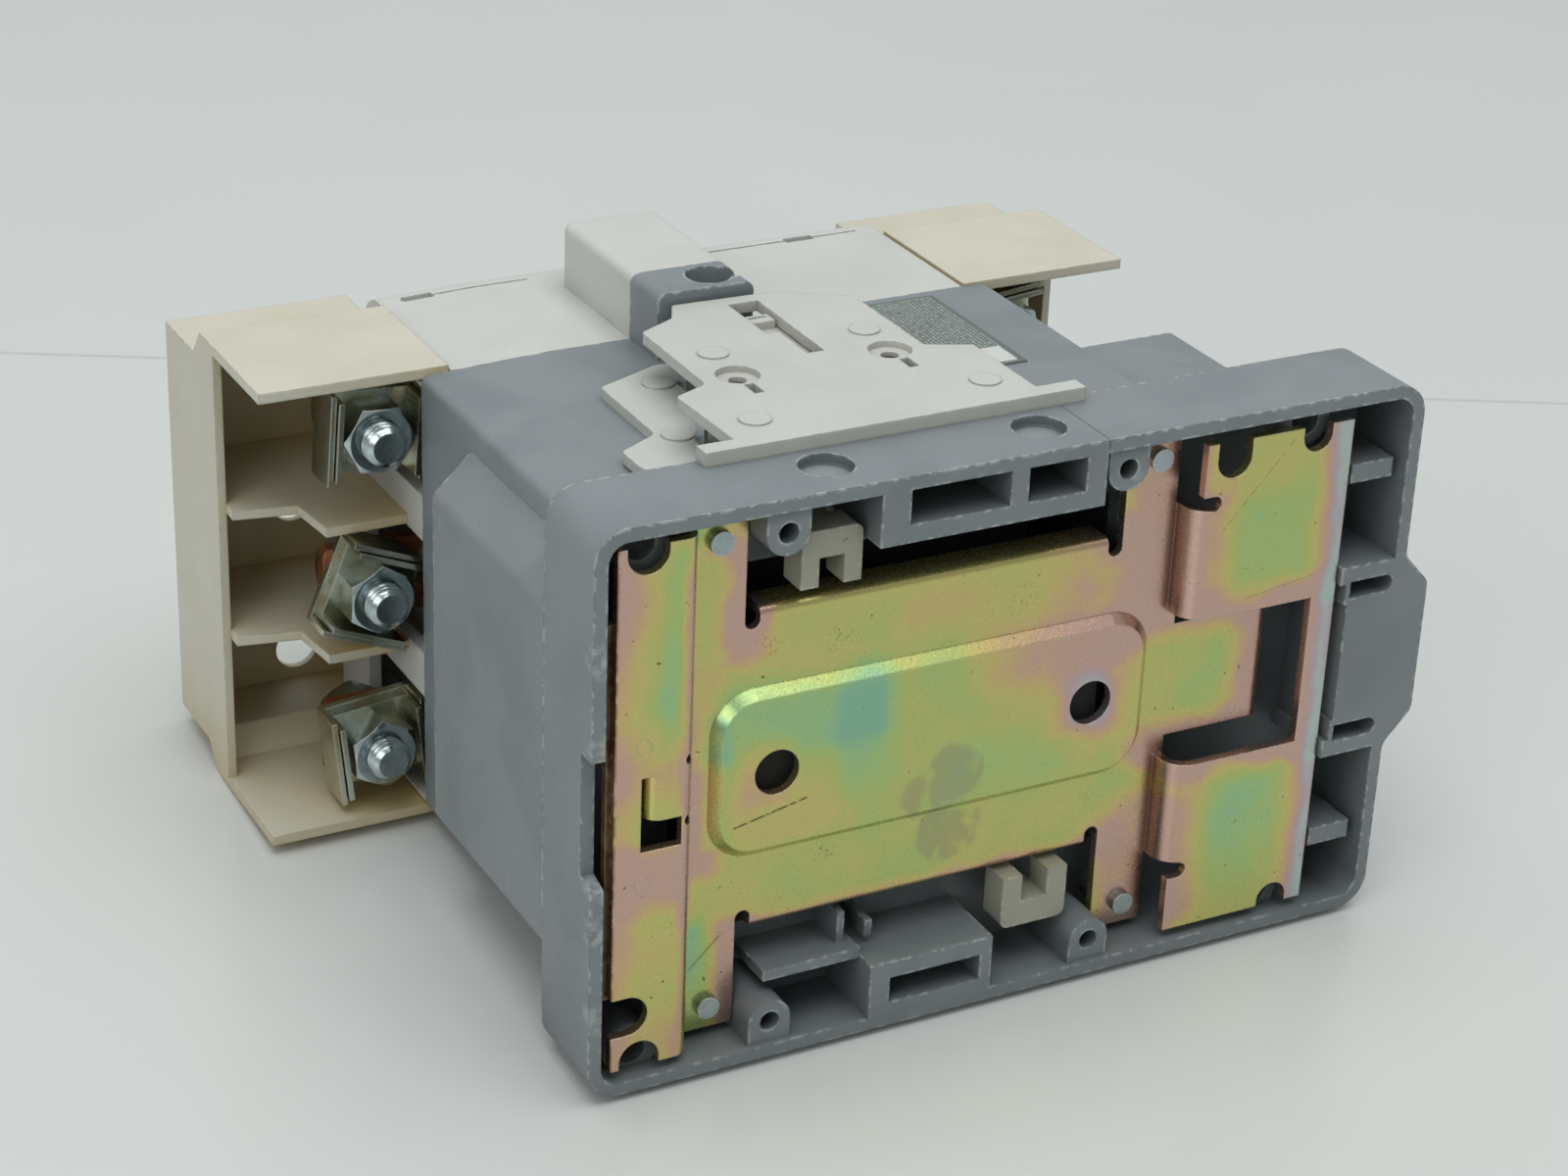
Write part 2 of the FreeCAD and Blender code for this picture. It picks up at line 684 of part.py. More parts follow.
def main_housing():
    """Deep hollow moulding from the base's front face to the seam with the cover."""
    upper = slab_y(body_outline(), base_depth, seam_y)
    upper = rounded(upper, 1.6, lambda m, t: along(1)(t) and abs(m.x - works_x) > body_half_length - 0.01)
    lower = slab_y(ledge_outline(), base_depth, ledge_front)
    lower = rounded(lower, 2.5, lambda m, t: along(1)(t) and m.x < base_left + 0.01)
    lower = rounded(lower, 6.0, lambda m, t: m.y > ledge_front - 0.01 and m.x > base_right - 0.01)
    body = upper.fuse([lower, hump(hump_near_y, seam_y)])
    cavity = box(works_x - cavity_half_length, works_x + cavity_half_length, base_depth - 1, mid_wall_y,
                 -cavity_half_width, cavity_half_width)
    pole_room = box(works_x - cavity_half_length, works_x + cavity_half_length, mid_wall_front, seam_y + 1,
                    -cavity_half_width, cavity_half_width)
    line_pocket = box(base_left + ledge_wall, works_x - cavity_half_length + 1, base_depth - 1,
                      ledge_front - ledge_wall, -ledge_half + ledge_wall, ledge_half - ledge_wall)
    load_pocket = box(works_x + body_half_length, base_right - ledge_wall, base_depth - 1,
                      ledge_front - ledge_wall, -ledge_half + ledge_wall, ledge_half - ledge_wall)
    cuts = [cavity, pole_room, line_pocket, load_pocket]
    for z in poles:
        cuts.append(box(works_x - stem_half_x - stem_slot, works_x + stem_half_x + stem_slot,
                        mid_wall_y - 1, mid_wall_front + 1, z - stem_half_z - stem_slot,
                        z + stem_half_z + stem_slot))
    cuts.append(post(well_x, well_y, well_r, hump_half_z - well_depth, hump_half_z + 1))
    cuts.append(post(well_x + well_side_x, well_y, well_side_r, hump_half_z - well_depth, hump_half_z + 1))
    cuts.append(post(well_x, well_y, 1.5, hump_half_z - well_depth - 4.5, hump_half_z))
    for x, z in fixing_places():
        cuts.append(rod(x, z, side_clear_r, base_depth - 1, base_depth + 9.0))
    body = body.cut(cuts)
    added = []
    for end in ends:
        for z in poles:
            x0, x1 = sorted((works_x + end * insulator_in, works_x + end * insulator_out))
            added.append(box(x0, x1, mid_wall_front - 0.5, bar_y, z - insulator_half, z + insulator_half))
        for side in ends:
            x = works_x + end * screw_x
            added.append(rod(x, side * screw_z, screw_post_r, mid_wall_front - 0.5, seam_y))
    body = body.fuse(added)
    cuts = []
    for end in ends:
        for side in ends:
            x = works_x + end * screw_x
            cuts.append(rod(x, side * screw_z, screw_hole_r, mid_wall_y - 1, seam_y + 1))
    return body.cut(cuts).removeSplitter()


add("main_housing", main_housing())

# Front cover over the three poles
cover_fit = 0.5
cover_end_half = shroud_room - cover_fit - 0.1
cover_low_half = shroud_step_half - shroud_plate - cover_fit - 0.1
chamber_wall = 1.8
terminal_gap_half = 11.4
terminal_gap_limit = cavity_half_width + 0.1
terminal_gap_front = bar_y + 17.4
indicator_half = 4.0
coil_screw_z = cover_low_half - 11.4
coil_screw_x = body_half_length - 23.9
coil_well_r = 4.4
coil_well_depth = 1.4
coil_head_r = coil_well_r - 0.5
cover_head_r = 3.1
cover_well_r = cover_head_r + 0.3
groove_y = cover_front - 8.0
groove_width = 0.5
groove_depth = 0.6
groove_reach = 48.0
groove_gap = 5.0
insert_length = 6.0
insert_width = 1.4
insert_depth = 1.0
insert_places = (works_x - 47.6, works_x + 32.3)


def front_cover():
    """Shell with three arc chambers, open at both ends for the terminals."""
    body = slab_y(body_outline(), seam_y, cover_front)
    body = rounded(body, cover_round, lambda m, t: m.y > cover_front - 0.01 and abs(t.x) > 0.9)
    added = [hump(seam_y, shroud_step_y - 1.0)]
    body = body.fuse(added)
    body = rounded(body, 1.8, lambda m, t: along(0)(t) and m.y < shroud_step_y and m.y > seam_y + 1
                   and m.z > hump_half_z - 0.01)
    cuts = []
    inner = shroud_inner - cover_fit
    for end in ends:
        x0, x1 = sorted((works_x + end * inner, works_x + end * (body_half_length + 1)))
        for side in ends:
            z0, z1 = sorted((side * cover_end_half, side * (body_half_width + 1)))
            cuts.append(box(x0, x1, seam_y - 1, cover_front + 1, z0, z1))
            z0, z1 = sorted((side * cover_low_half, side * (body_half_width + 1)))
            cuts.append(box(x0, x1, shroud_step_y - 1.5, cover_front + 1, z0, z1))
    body = body.cut(cuts)
    cuts = []
    floor = cover_front - wall
    length = cavity_half_length
    edge = pole_pitch / 2
    limit = cover_low_half - wall
    for z0, z1, end_z0, end_z1 in ((-edge, edge, -edge, edge), (edge, cavity_half_width, edge, limit),
                                   (-cavity_half_width, -edge, -limit, -edge)):
        partition = chamber_wall / 2
        z0 += partition if abs(z0) == edge else 0
        z1 -= partition if abs(z1) == edge else 0
        end_z0 += partition if abs(end_z0) == edge else 0
        end_z1 -= partition if abs(end_z1) == edge else 0
        cuts.append(box(works_x - inner + wall, works_x + inner - wall, seam_y - 1, floor, z0, z1))
        cuts.append(box(works_x - length, works_x + length, seam_y - 1, floor, end_z0, end_z1))
    # Terminal openings in both end walls, one for each pole
    for end in ends:
        for z in poles:
            x0, x1 = sorted((works_x + end * (inner - wall), works_x + end * (body_half_length + 1)))
            low = max(z - terminal_gap_half, -terminal_gap_limit)
            high = min(z + terminal_gap_half, terminal_gap_limit)
            cuts.append(box(x0, x1, seam_y - 1, terminal_gap_front, low, high))
    cuts.append(box(works_x - indicator_half, works_x + indicator_half, floor - 1, cover_front + 1, -2.5, 2.5))
    for side in ends:
        x = works_x - coil_screw_x
        cuts.append(rod(x, side * coil_screw_z, coil_well_r, cover_front - coil_well_depth, cover_front + 1))
        cuts.append(rod(x, side * coil_screw_z, screw_hole_r, floor - 1, cover_front))
    # Groove of the lid along both long sides, with a latch slot at each end
    for side in ends:
        z0, z1 = sorted((side * (body_half_width - groove_depth - body_fall), side * (body_half_width + 1)))
        for x0, x1 in ((works_x - groove_reach, hump_left - groove_gap),
                       (hump_right + groove_gap, works_x + groove_reach)):
            cuts.append(box(x0, x1, groove_y, groove_y + groove_width, z0, z1))
        z0, z1 = sorted((side * (body_half_width - insert_depth - body_fall), side * (body_half_width + 1)))
        for x in insert_places:
            cuts.append(box(x, x + insert_length, groove_y - insert_width / 2, groove_y + insert_width, z0, z1))
    body = body.cut(cuts)
    added = []
    for end in ends:
        for side in ends:
            x = works_x + end * screw_x
            added.append(rod(x, side * screw_z, screw_post_r, seam_y, floor + 1))
    body = body.fuse(added)
    cuts = []
    for end in ends:
        for side in ends:
            x = works_x + end * screw_x
            cuts.append(rod(x, side * screw_z, screw_hole_r + 0.2, seam_y - 1, cover_front + 1))
            cuts.append(rod(x, side * screw_z, cover_well_r, cover_front - 3.4, cover_front + 1))
    return body.cut(cuts).removeSplitter()


add("front_cover", front_cover())


def cross_screw(x, z, head_r, head_front, head, shank_r, tip_y):
    """Pan-head screw along Y with its head towards the front."""
    cap = rod(x, z, head_r, head_front - head, head_front)
    shank = rod(x, z, shank_r, tip_y, head_front - head)
    arm = head_r * 0.62
    slot = joined(box(x - arm, x + arm, head_front - 1.1, head_front + 1, z - 0.45, z + 0.45),
                  box(x - 0.45, x + 0.45, head_front - 1.1, head_front + 1, z - arm, z + arm))
    return joined(cap, shank).cut(slot)


add("cover_screws", *[cross_screw(works_x + end * screw_x, side * screw_z, cover_head_r, cover_front - 0.9, 2.5,
                                  screw_hole_r - 0.1, mid_wall_y + 0.5) for end in ends for side in ends])
add("coil_terminal_screws", *[cross_screw(works_x - coil_screw_x, side * coil_screw_z, coil_head_r,
                                          cover_front + 0.6, coil_well_depth + 0.6,
                                          screw_hole_r - 0.1, cover_front - wall) for side in ends])


def hump_screw():
    """Pan-head screw in the well of the grey block, with its head up."""
    floor = hump_half_z - well_depth
    cap = post(well_x, well_y, 3.4, floor, floor + 2.2)
    shank = post(well_x, well_y, 1.4, floor - 4.5, floor)
    slot = joined(box(well_x - 2.1, well_x + 2.1, well_y - 0.45, well_y + 0.45, floor + 1.1, floor + 3),
                  box(well_x - 0.45, well_x + 0.45, well_y - 2.1, well_y + 2.1, floor + 1.1, floor + 3))
    return joined(cap, shank).cut(slot)


add("hump_screw", hump_screw())

# Bare label on the upper long side
label_thick = 0.25
label_left = works_x + 17.65
label_width = 26.6
label_far_y = seam_y - 2.4
label_height = 34.9


add("label_plate", box(label_left, label_left + label_width, label_far_y - label_height, label_far_y,
                       body_half_width, body_half_width + label_thick))

# Auxiliary contact block on the upper long side, in places from the centre of the poles
# and from the front face of the base
aux_floor = 2.0
aux_lid = 2.0
aux_lid_z = base_half + 0.5
aux_top = aux_lid_z + aux_lid
aux_base_outline = ((17.35, 0.4), (-35.65, 0.4), (-42.05, 13.3), (-42.15, 20.3), (-33.85, 24.9),
                    (-33.85, 46.7), (-20.85, 52.3), (17.35, 52.3))
aux_cover_outline = ((25.75, 0.4), (25.55, 21.0), (17.45, 24.3), (17.25, 49.6), (5.35, 56.8), (-15.05, 57.6),
                     (-17.75, 52.0), (-25.45, 48.0), (-25.55, 22.9), (-32.45, 19.9), (-31.65, 0.4))
aux_bar = (-38.35, 33.55, -3.0, 0.4)
aux_slot = (-3.25, 0.15, 28.6, 54.0)
aux_slot_wide = (-5.65, 0.15, 39.0, 54.0)
aux_pads = ((-18.35, 34.6), (11.15, 34.4), (19.15, 6.3), (-24.75, 6.3))
aux_pad_r = 2.8
aux_wells = ((-18.65, 24.6), (10.85, 24.6))
aux_well_r = 3.9
aux_square = ((-18.75, 18.2), (11.05, 18.2))
aux_shell = (-15.75, 17.35, 1.0, 51.0)
aux_shell_wall = 1.5
aux_rivets = ((-23.85, 44.5), (-30.5, 23.0))
aux_blades = ((-20.55, 41.3), (-28.5, 18.1))
aux_slide = (-7.35, 1.65, 31.6, 49.0)
aux_finger = (-5.25, -0.25, 39.4, 49.4)
aux_dimple = (-4.45, -1.05, 41.4, 42.0)


def on_side(x, y):
    """Place on the upper long side, from the centre of the poles and the base's front face."""
    return works_x + x, base_depth + y


def side_block(place, z0, z1):
    """Block on the upper long side, between two heights."""
    x0, x1, y0, y1 = place
    return box(works_x + x0, works_x + x1, base_depth + y0, base_depth + y1, z0, z1)


def aux_base():
    """Lower slab with the shallow box that carries the auxiliary contacts."""
    low = body_half_width
    floor = low + aux_floor
    slab = slab_z([on_side(x, y) for x, y in aux_base_outline], low, floor)
    slab = rounded(slab, 1.6, lambda m, t: along(2)(t) and m.x < works_x + aux_shell[0])
    x0, x1, y0, y1 = aux_shell
    inset = aux_shell_wall
    walls = side_block(aux_shell, floor - 0.1, aux_lid_z)
    room = side_block((x0 + inset, x1 - inset, y0 + inset, y1 - inset), floor, aux_lid_z + 1)
    shell = slab.fuse(walls).cut(room)
    for x, y in aux_rivets:
        shell = shell.fuse(post(*on_side(x, y), 2.9, floor - 0.1, floor + 0.35))
    return shell.removeSplitter()


def aux_cover():
    """Upper slab with its long bar over the base, a window, wells and low pads."""
    slab = slab_z([on_side(x, y) for x, y in aux_cover_outline], aux_lid_z, aux_top)
    slab = rounded(slab, 1.2, lambda m, t: along(2)(t) and m.y > base_depth + aux_bar[3] + 1)
    x0, x1, y0, y1 = aux_bar
    lid = slab.fuse(side_block((x0, x1, y0, y1 + 0.1), base_half, aux_top))
    cuts = [side_block(aux_slot, aux_lid_z - 1, aux_top + 1), side_block(aux_slot_wide, aux_lid_z - 1, aux_top + 1)]
    for x, y in aux_wells:
        cuts.append(post(*on_side(x, y), aux_well_r, aux_top - 1.1, aux_top + 1))
        cuts.append(post(*on_side(x, y), 1.6, aux_lid_z - 1, aux_top + 1))
    for x, y in aux_square:
        cuts.append(side_block((x - 0.9, x + 0.9, y - 2.0, y + 2.0), aux_lid_z - 1, aux_top + 1))
    lid = lid.cut(cuts)
    pads = [post(*on_side(x, y), aux_pad_r, aux_top - 0.1, aux_top + 0.3) for x, y in aux_pads]
    return lid.fuse(pads).removeSplitter()


def aux_blade(x, y):
    """Thin upright contact blade between the two slabs."""
    return side_block((x - 0.4, x + 0.4, y - 1.6, y + 1.6), body_half_width + aux_floor, aux_lid_z)


def aux_slider():
    """Slide with a finger in the window, driven by the contactor."""
    low = body_half_width + aux_floor + running_gap
    wide = side_block(aux_slide, low, aux_lid_z - running_gap)
    x0, x1, y0, y1 = aux_finger
    finger = side_block((x0, x1, y0 + stroke, y1), low + 1, aux_top - 0.8)
    x0, x1, y0, y1 = aux_dimple
    return joined(wide, finger).cut(side_block((x0, x1, y0 + stroke, y1 + stroke), aux_top - 2.4, aux_top))


add("aux_base", aux_base())
add("aux_cover", aux_cover())
add("aux_blades", *[aux_blade(x, y) for x, y in aux_blades])
add("aux_slider", aux_slider())

# Terminal shrouds
def shroud_half_outline(inset):
    """Half section of the shroud in Y and Z: high near plate, step, low far plate."""
    front = shroud_front - (shroud_wall if inset else 0)
    return [(seam_y, shroud_half - inset), (shroud_step_y, shroud_half - inset),
            (shroud_step_y + shroud_slope, shroud_step_half - inset), (front, shroud_step_half - inset)]


def shroud(end):
    """Cup over the terminals of one end, open to the rear, with two dividers."""
    outer = shroud_half_outline(0)
    inner = shroud_half_outline(shroud_plate)
    x0, x1 = sorted((works_x + end * shroud_inner, works_x + end * shroud_reach))
    skin = slab_x(outer + [(y, -z) for y, z in reversed(outer)], x0, x1)
    room_x0, room_x1 = sorted((works_x + end * (shroud_inner - 1), works_x + end * (shroud_reach - shroud_wall)))
    inner[0] = (seam_y - 1, inner[0][1])
    skin = skin.cut(slab_x(inner + [(y, -z) for y, z in reversed(inner)], room_x0, room_x1))
    wall_x0, wall_x1 = sorted((works_x + end * (shroud_reach - shroud_wall - 0.01),
                               works_x + end * (shroud_reach + 1)))
    wall_back = shroud_front - shroud_wall_back
    skin = skin.cut(box(wall_x0, wall_x1, seam_y - 1, wall_back, -shroud_room, shroud_room))
    pieces = []
    far = shroud_reach - shroud_wall
    near = body_half_length
    divider_z = pole_pitch / 2 - divider_in
    for side in ends:
        z0, z1 = sorted((side * (divider_z - divider_thick / 2), side * (divider_z + divider_thick / 2)))
        outline = [(near, seam_y + divider_rise), (near + divider_near_out, seam_y + divider_rise),
                   (near + divider_deep_out, seam_y + divider_deep_rise), (far + 0.1, seam_y + divider_wall_rise),
                   (far + 0.1, shroud_front - 0.1), (near, shroud_front - 0.1)]
        pieces.append(slab_z([(works_x + end * x, y) for x, y in outline], z0, z1))
    x0, x1 = sorted((works_x + end * shroud_inner, works_x + end * (shroud_inner + shroud_wall)))
    pieces.append(box(x0, x1, cover_front, shroud_front - 0.1, -shroud_step_half + 0.1, shroud_step_half - 0.1))
    skin = skin.fuse(pieces)
    holes = [rod(works_x + end * terminal_x, z, tool_hole_r, shroud_front - 3, shroud_front + 1) for z in poles]
    return skin.cut(holes).removeSplitter()


add("line_shroud", shroud(-1))
add("load_shroud", shroud(1))

# Terminal bars, fixed contact tips and terminal hardware
bar_inner = 14.0
bar_outer = terminal_x + 8.0


def terminal_bar(end, z):
    """Flat copper bar from the fixed contact out to the terminal bolt."""
    x0, x1 = sorted((works_x + end * bar_inner, works_x + end * bar_outer))
    bar = pad_y(x0, x1, bar_y, bar_front, z - bar_width / 2, z + bar_width / 2, 1.5)
    return bar.cut(rod(works_x + end * terminal_x, z, bolt_hole_r, bar_y - 1, bar_front + 1))


def contact_tip(x, z, y0, y1):
    """Square contact tip between two depths."""
    return box(x - tip_half, x + tip_half, y0, y1, z - tip_half, z + tip_half)


for index, z in enumerate(poles):
    add("line_bar_%d" % (index + 1), terminal_bar(-1, z))
    add("load_bar_%d" % (index + 1), terminal_bar(1, z))
tip_x = bridge_half - tip_half - 0.5
add("fixed_contact_tips", *[contact_tip(works_x + end * tip_x, z, bar_front, fixed_tip_front)
                            for end in ends for z in poles])

washer_turns = {(-1, 0): -6.0, (-1, 1): 112.0, (-1, 2): 4.0, (1, 0): 90.0, (1, 1): 8.0, (1, 2): 84.0}
nut_turns = {(-1, 0): 26.0, (-1, 1): 32.0, (-1, 2): 3.0, (1, 0): 12.0, (1, 1): 40.0, (1, 2): 22.0}
nut_rear = bar_y - 2 * washer_thick - nut_height
bolt_head = 5.3
clamp_ear = 6.0
saddle_ear = 6.6


def turned(shape, x, z, angle):
    """The shape turned about a terminal's axis."""
    copy = shape.copy()
    copy.rotate(Vector(x, 0, z), Vector(0, 1, 0), angle)
    return copy


def hexagon(x, z, flats, y0, y1):
    """Hexagonal prism along Y."""
    r = flats / math.sqrt(3)
    points = [(x + r * math.cos(math.radians(60 * i)), z + r * math.sin(math.radians(60 * i))) for i in range(6)]
    return slab_y(points, y0, y1)


def ear_washer(x, z, angle, rear, side, ear):
    """Square washer with two opposite edges bent towards the rear."""
    half = side / 2
    plate = box(x - half, x + half, rear, rear + washer_thick, z - half + 0.5, z + half - 0.5)
    ears = [box(x + low, x + low + ear_thick, rear - ear, rear + 0.1, z - half + 0.5, z + half - 0.5)
            for low in (-half, half - ear_thick)]
    plate = joined(plate, *ears).cut(rod(x, z, bolt_hole_r, rear - 1, rear + 3))
    return turned(plate, x, z, angle)


def terminal_nut(x, z):
    """Hexagon nut with chamfered corners."""
    r = nut_flats / math.sqrt(3)
    nut = hexagon(x, z, nut_flats, nut_rear, nut_rear + nut_height)
    cone = Part.makeCone(nut_flats / 2 - 0.2, nut_flats / 2 - 0.2 + 3 * r, 3 * r * 0.6,
                         Vector(x, nut_rear, z), Vector(0, 1, 0))
    return nut.common(cone).cut(rod(x, z, bolt_r, nut_rear - 1, nut_rear + nut_height + 1))


def terminal_bolt(x, z):
    """Hexagon-head bolt with its head towards the front and its end past the nut."""
    head = hexagon(x, z, nut_flats, bar_front + washer_thick, bar_front + washer_thick + bolt_head)
    shank = rod(x, z, bolt_r, nut_rear - thread_out, bar_front + washer_thick + 0.1)
    tip = nut_rear - thread_out
    shank = shank.makeChamfer(1.2, [e for e in shank.Edges if abs(e.CenterOfMass.y - tip) < 0.01
                                    and isinstance(e.Curve, Part.Circle)])
    return joined(head, shank)


def flat_washer(x, z):
    """Round washer under the bolt's head."""
    ring = rod(x, z, nut_flats / 2 + 1.0, bar_front, bar_front + washer_thick)
    return ring.cut(rod(x, z, bolt_hole_r, bar_front - 1, bar_front + washer_thick + 1))


terminals = [(end, index, works_x + end * terminal_x, z) for end in ends for index, z in enumerate(poles)]
add("terminal_bolts", *[terminal_bolt(x, z) for end, index, x, z in terminals])
add("terminal_nuts", *[turned(terminal_nut(x, z), x, z, nut_turns[(end, index)])
                       for end, index, x, z in terminals])
add("clamp_washers", *[ear_washer(x, z, washer_turns[(end, index)], bar_y - 2 * washer_thick, clamp_side,
                                  clamp_ear) for end, index, x, z in terminals])
add("saddle_washers", *[ear_washer(x, z, washer_turns[(end, index)], bar_y - washer_thick, saddle_side,
                                   saddle_ear) for end, index, x, z in terminals])
add("head_washers", *[flat_washer(x, z) for end, index, x, z in terminals])

# Magnet, coil and return springs
cushion_half_x = 36.0
cushion_half_z = 20.0
shade_width = 2.0


def e_profile(y_back, y_yoke, y_pole):
    """E outline of a core in X and Y, between its back and its pole faces."""
    inner = core_half - outer_leg
    return [(works_x - core_half, y_back), (works_x - core_half, y_pole), (works_x - inner, y_pole),
            (works_x - inner, y_yoke), (works_x - centre_leg_half, y_yoke),
            (works_x - centre_leg_half, y_pole), (works_x + centre_leg_half, y_pole),
            (works_x + centre_leg_half, y_yoke), (works_x + inner, y_yoke), (works_x + inner, y_pole),
            (works_x + core_half, y_pole), (works_x + core_half, y_back)]


def shading_loop(end, grow, depth):
    """Rectangular loop in one outer pole face."""
    x = works_x + end * (core_half - outer_leg / 2)
    half = outer_leg / 2 - 2.2
    out = box(x - half - grow, x + half + grow, core_pole_y - depth, core_pole_y + grow,
              -core_stack / 2 + 3 - grow, core_stack / 2 - 3 + grow)
    hole = box(x - half + shade_width, x + half - shade_width, core_pole_y - depth - 1, core_pole_y + 1,
               -core_stack / 2 + 3 + shade_width, core_stack / 2 - 3 - shade_width)
    return out.cut(hole)


def fixed_core():
    """Laminated E core with a slot for a shading ring in each outer pole face."""
    core = slab_z(e_profile(core_back_y, core_back_y + core_yoke, core_pole_y), -core_stack / 2, core_stack / 2)
    return core.cut([shading_loop(end, 0.0, 2.4) for end in ends])


def coil_bobbin():
    """Flanged former round the centre legs."""
    bore_x = centre_leg_half + bobbin_clear
    bore_z = core_stack / 2 + bobbin_clear
    tube = box(works_x - bore_x - bobbin_wall, works_x + bore_x + bobbin_wall, bobbin_rear, bobbin_front,
               -bore_z - bobbin_wall, bore_z + bobbin_wall)
    flanges = [box(works_x - bobbin_half_x, works_x + bobbin_half_x, y0, y0 + bobbin_wall,
                   -bobbin_half_z, bobbin_half_z) for y0 in (bobbin_rear, bobbin_front - bobbin_wall)]
    bore = box(works_x - bore_x, works_x + bore_x, bobbin_rear - 1, bobbin_front + 1, -bore_z, bore_z)
    return joined(tube, *flanges).cut(bore)


def coil_winding():
    """Wound copper between the flanges of the former."""
    bore_x = centre_leg_half + bobbin_clear + bobbin_wall
    bore_z = core_stack / 2 + bobbin_clear + bobbin_wall
    y0 = bobbin_rear + bobbin_wall
    y1 = bobbin_front - bobbin_wall
    half_x = bobbin_half_x - coil_inset_x
    half_z = bobbin_half_z - coil_inset_z
    wound = pad_y(works_x - half_x, works_x + half_x, y0, y1, -half_z, half_z, 6.0)
    return wound.cut(box(works_x - bore_x, works_x + bore_x, y0 - 1, y1 + 1, -bore_z, bore_z))


def coil_spring(x, z, r, wire_r, y0, y1, turns):
    """Coil spring along Y between two seats, in short straight runs of four-sided wire."""
    pitch = (y1 - y0 - 2.2 * wire_r) / turns
    count = turns * turn_runs
    places = []
    for index in range(count + 1):
        turn = index / turn_runs
        angle = 2 * math.pi * turn
        places.append(Vector(x + r * math.cos(angle), y0 + wire_r + pitch * turn, z + r * math.sin(angle)))
    path = Part.Wire([Part.makeLine(a, b) for a, b in zip(places, places[1:])])
    half = wire_r * 0.88
    corners = [Vector(x + r + dx, y0 + wire_r + dy, z)
               for dx, dy in ((-half, -half), (half, -half), (half, half), (-half, half))]
    section = Part.makePolygon(corners + [corners[0]])
    wire = path.makePipeShell([section], True, False, 1)
    wire.translate(Vector(0, y0 - wire.BoundBox.YMin, 0))
    return wire


add("core_cushion", box(works_x - cushion_half_x, works_x + cushion_half_x, plate_level + sheet, core_back_y,
                        -cushion_half_z, cushion_half_z))
add("fixed_core", fixed_core())
add("shading_rings", *[shading_loop(end, 0.0, 2.4) for end in ends])
add("coil_bobbin", coil_bobbin())
add("coil_winding", coil_winding())
add("return_spring_upper", coil_spring(works_x, return_spring_z, return_spring_r, spring_wire_r,
                                       bobbin_front, armature_front, return_turns))
add("return_spring_lower", coil_spring(works_x, -return_spring_z, return_spring_r, spring_wire_r,
                                       bobbin_front, armature_front, return_turns))

# Moving parts: armature, contact carrier, bridges and contact springs
pin_r = 3.0
pin_y = armature_yoke_y + armature_yoke / 2
lug_half = 9.0


def armature():
    """Laminated E armature, hung from the carrier by a cross pin."""
    core = slab_z(e_profile(armature_front, armature_yoke_y, armature_pole_y), -core_stack / 2, core_stack / 2)
    return core.cut(Part.makeCylinder(pin_r, core_stack + 2, Vector(works_x, pin_y, -core_stack / 2 - 1),
                                      Vector(0, 0, 1)))


def armature_pin():
    """Plain pin through the armature and the two ears of the carrier."""
    length = core_stack + 2 * lug_thick
    return Part.makeCylinder(pin_r, length, Vector(works_x, pin_y, -length / 2), Vector(0, 0, 1))


def contact_carrier():
    """Moulded crosspiece with three windowed stems and two ears."""
    half_z = pole_pitch + stem_half_z
    plate = box(works_x - core_half + 8, works_x + core_half - 8, armature_front, carrier_front, -half_z, half_z)
    pieces = []
    for z in poles:
        pieces.append(box(works_x - stem_half_x, works_x + stem_half_x, carrier_front - 0.5, stem_front,
                          z - stem_half_z, z + stem_half_z))
    for side in ends:
        z0, z1 = sorted((side * (core_stack / 2 + 0.1), side * (core_stack / 2 + lug_thick)))
        pieces.append(box(works_x - lug_half, works_x + lug_half, armature_yoke_y, armature_front + 0.5, z0, z1))
    pieces.append(box(works_x - indicator_half + 0.5, works_x + indicator_half - 0.5, stem_front - 0.5,
                      cover_front - 0.6, -2.0, 2.0))
    carrier = plate.fuse(pieces)
    cuts = []
    for z in poles:
        half = bridge_width / 2 + 0.6
        cuts.append(box(works_x - stem_half_x - 1, works_x + stem_half_x + 1, bridge_rear - seat_gap,
                        stem_front - stem_bar, z - half, z + half))
    cuts.append(Part.makeCylinder(pin_r, 100, Vector(works_x, pin_y, -50), Vector(0, 0, 1)))
    return carrier.cut(cuts).removeSplitter()


def contact_bridge(z):
    """Copper bridge with a contact tip under each end."""
    bar = pad_y(works_x - bridge_half, works_x + bridge_half, bridge_rear, bridge_front,
                z - bridge_width / 2, z + bridge_width / 2, 1.0)
    tips = [contact_tip(works_x + end * tip_x, z, bridge_rear - tip_height, bridge_rear) for end in ends]
    return joined(bar, *tips)


add("armature", armature())
add("armature_pin", armature_pin())
add("contact_carrier", contact_carrier())
for index, z in enumerate(poles):
    add("contact_bridge_%d" % (index + 1), contact_bridge(z))
    add("contact_spring_%d" % (index + 1), coil_spring(works_x, z, contact_spring_r, spring_wire_r,
                                                       bridge_front, stem_front - stem_bar, contact_turns))

# Splitter plates of the arc chambers
splitter_start = bridge_half + 3.5
splitter_pitch = 3.2
splitter_end_room = 4.0
splitter_end = shroud_inner - cover_fit - wall - splitter_end_room
splitter_count = int((splitter_end - splitter_start) / splitter_pitch)
splitter_thick = 1.2
splitter_half = 9.4
splitter_near = fixed_tip_front + 1.5
splitter_notch = 5.8


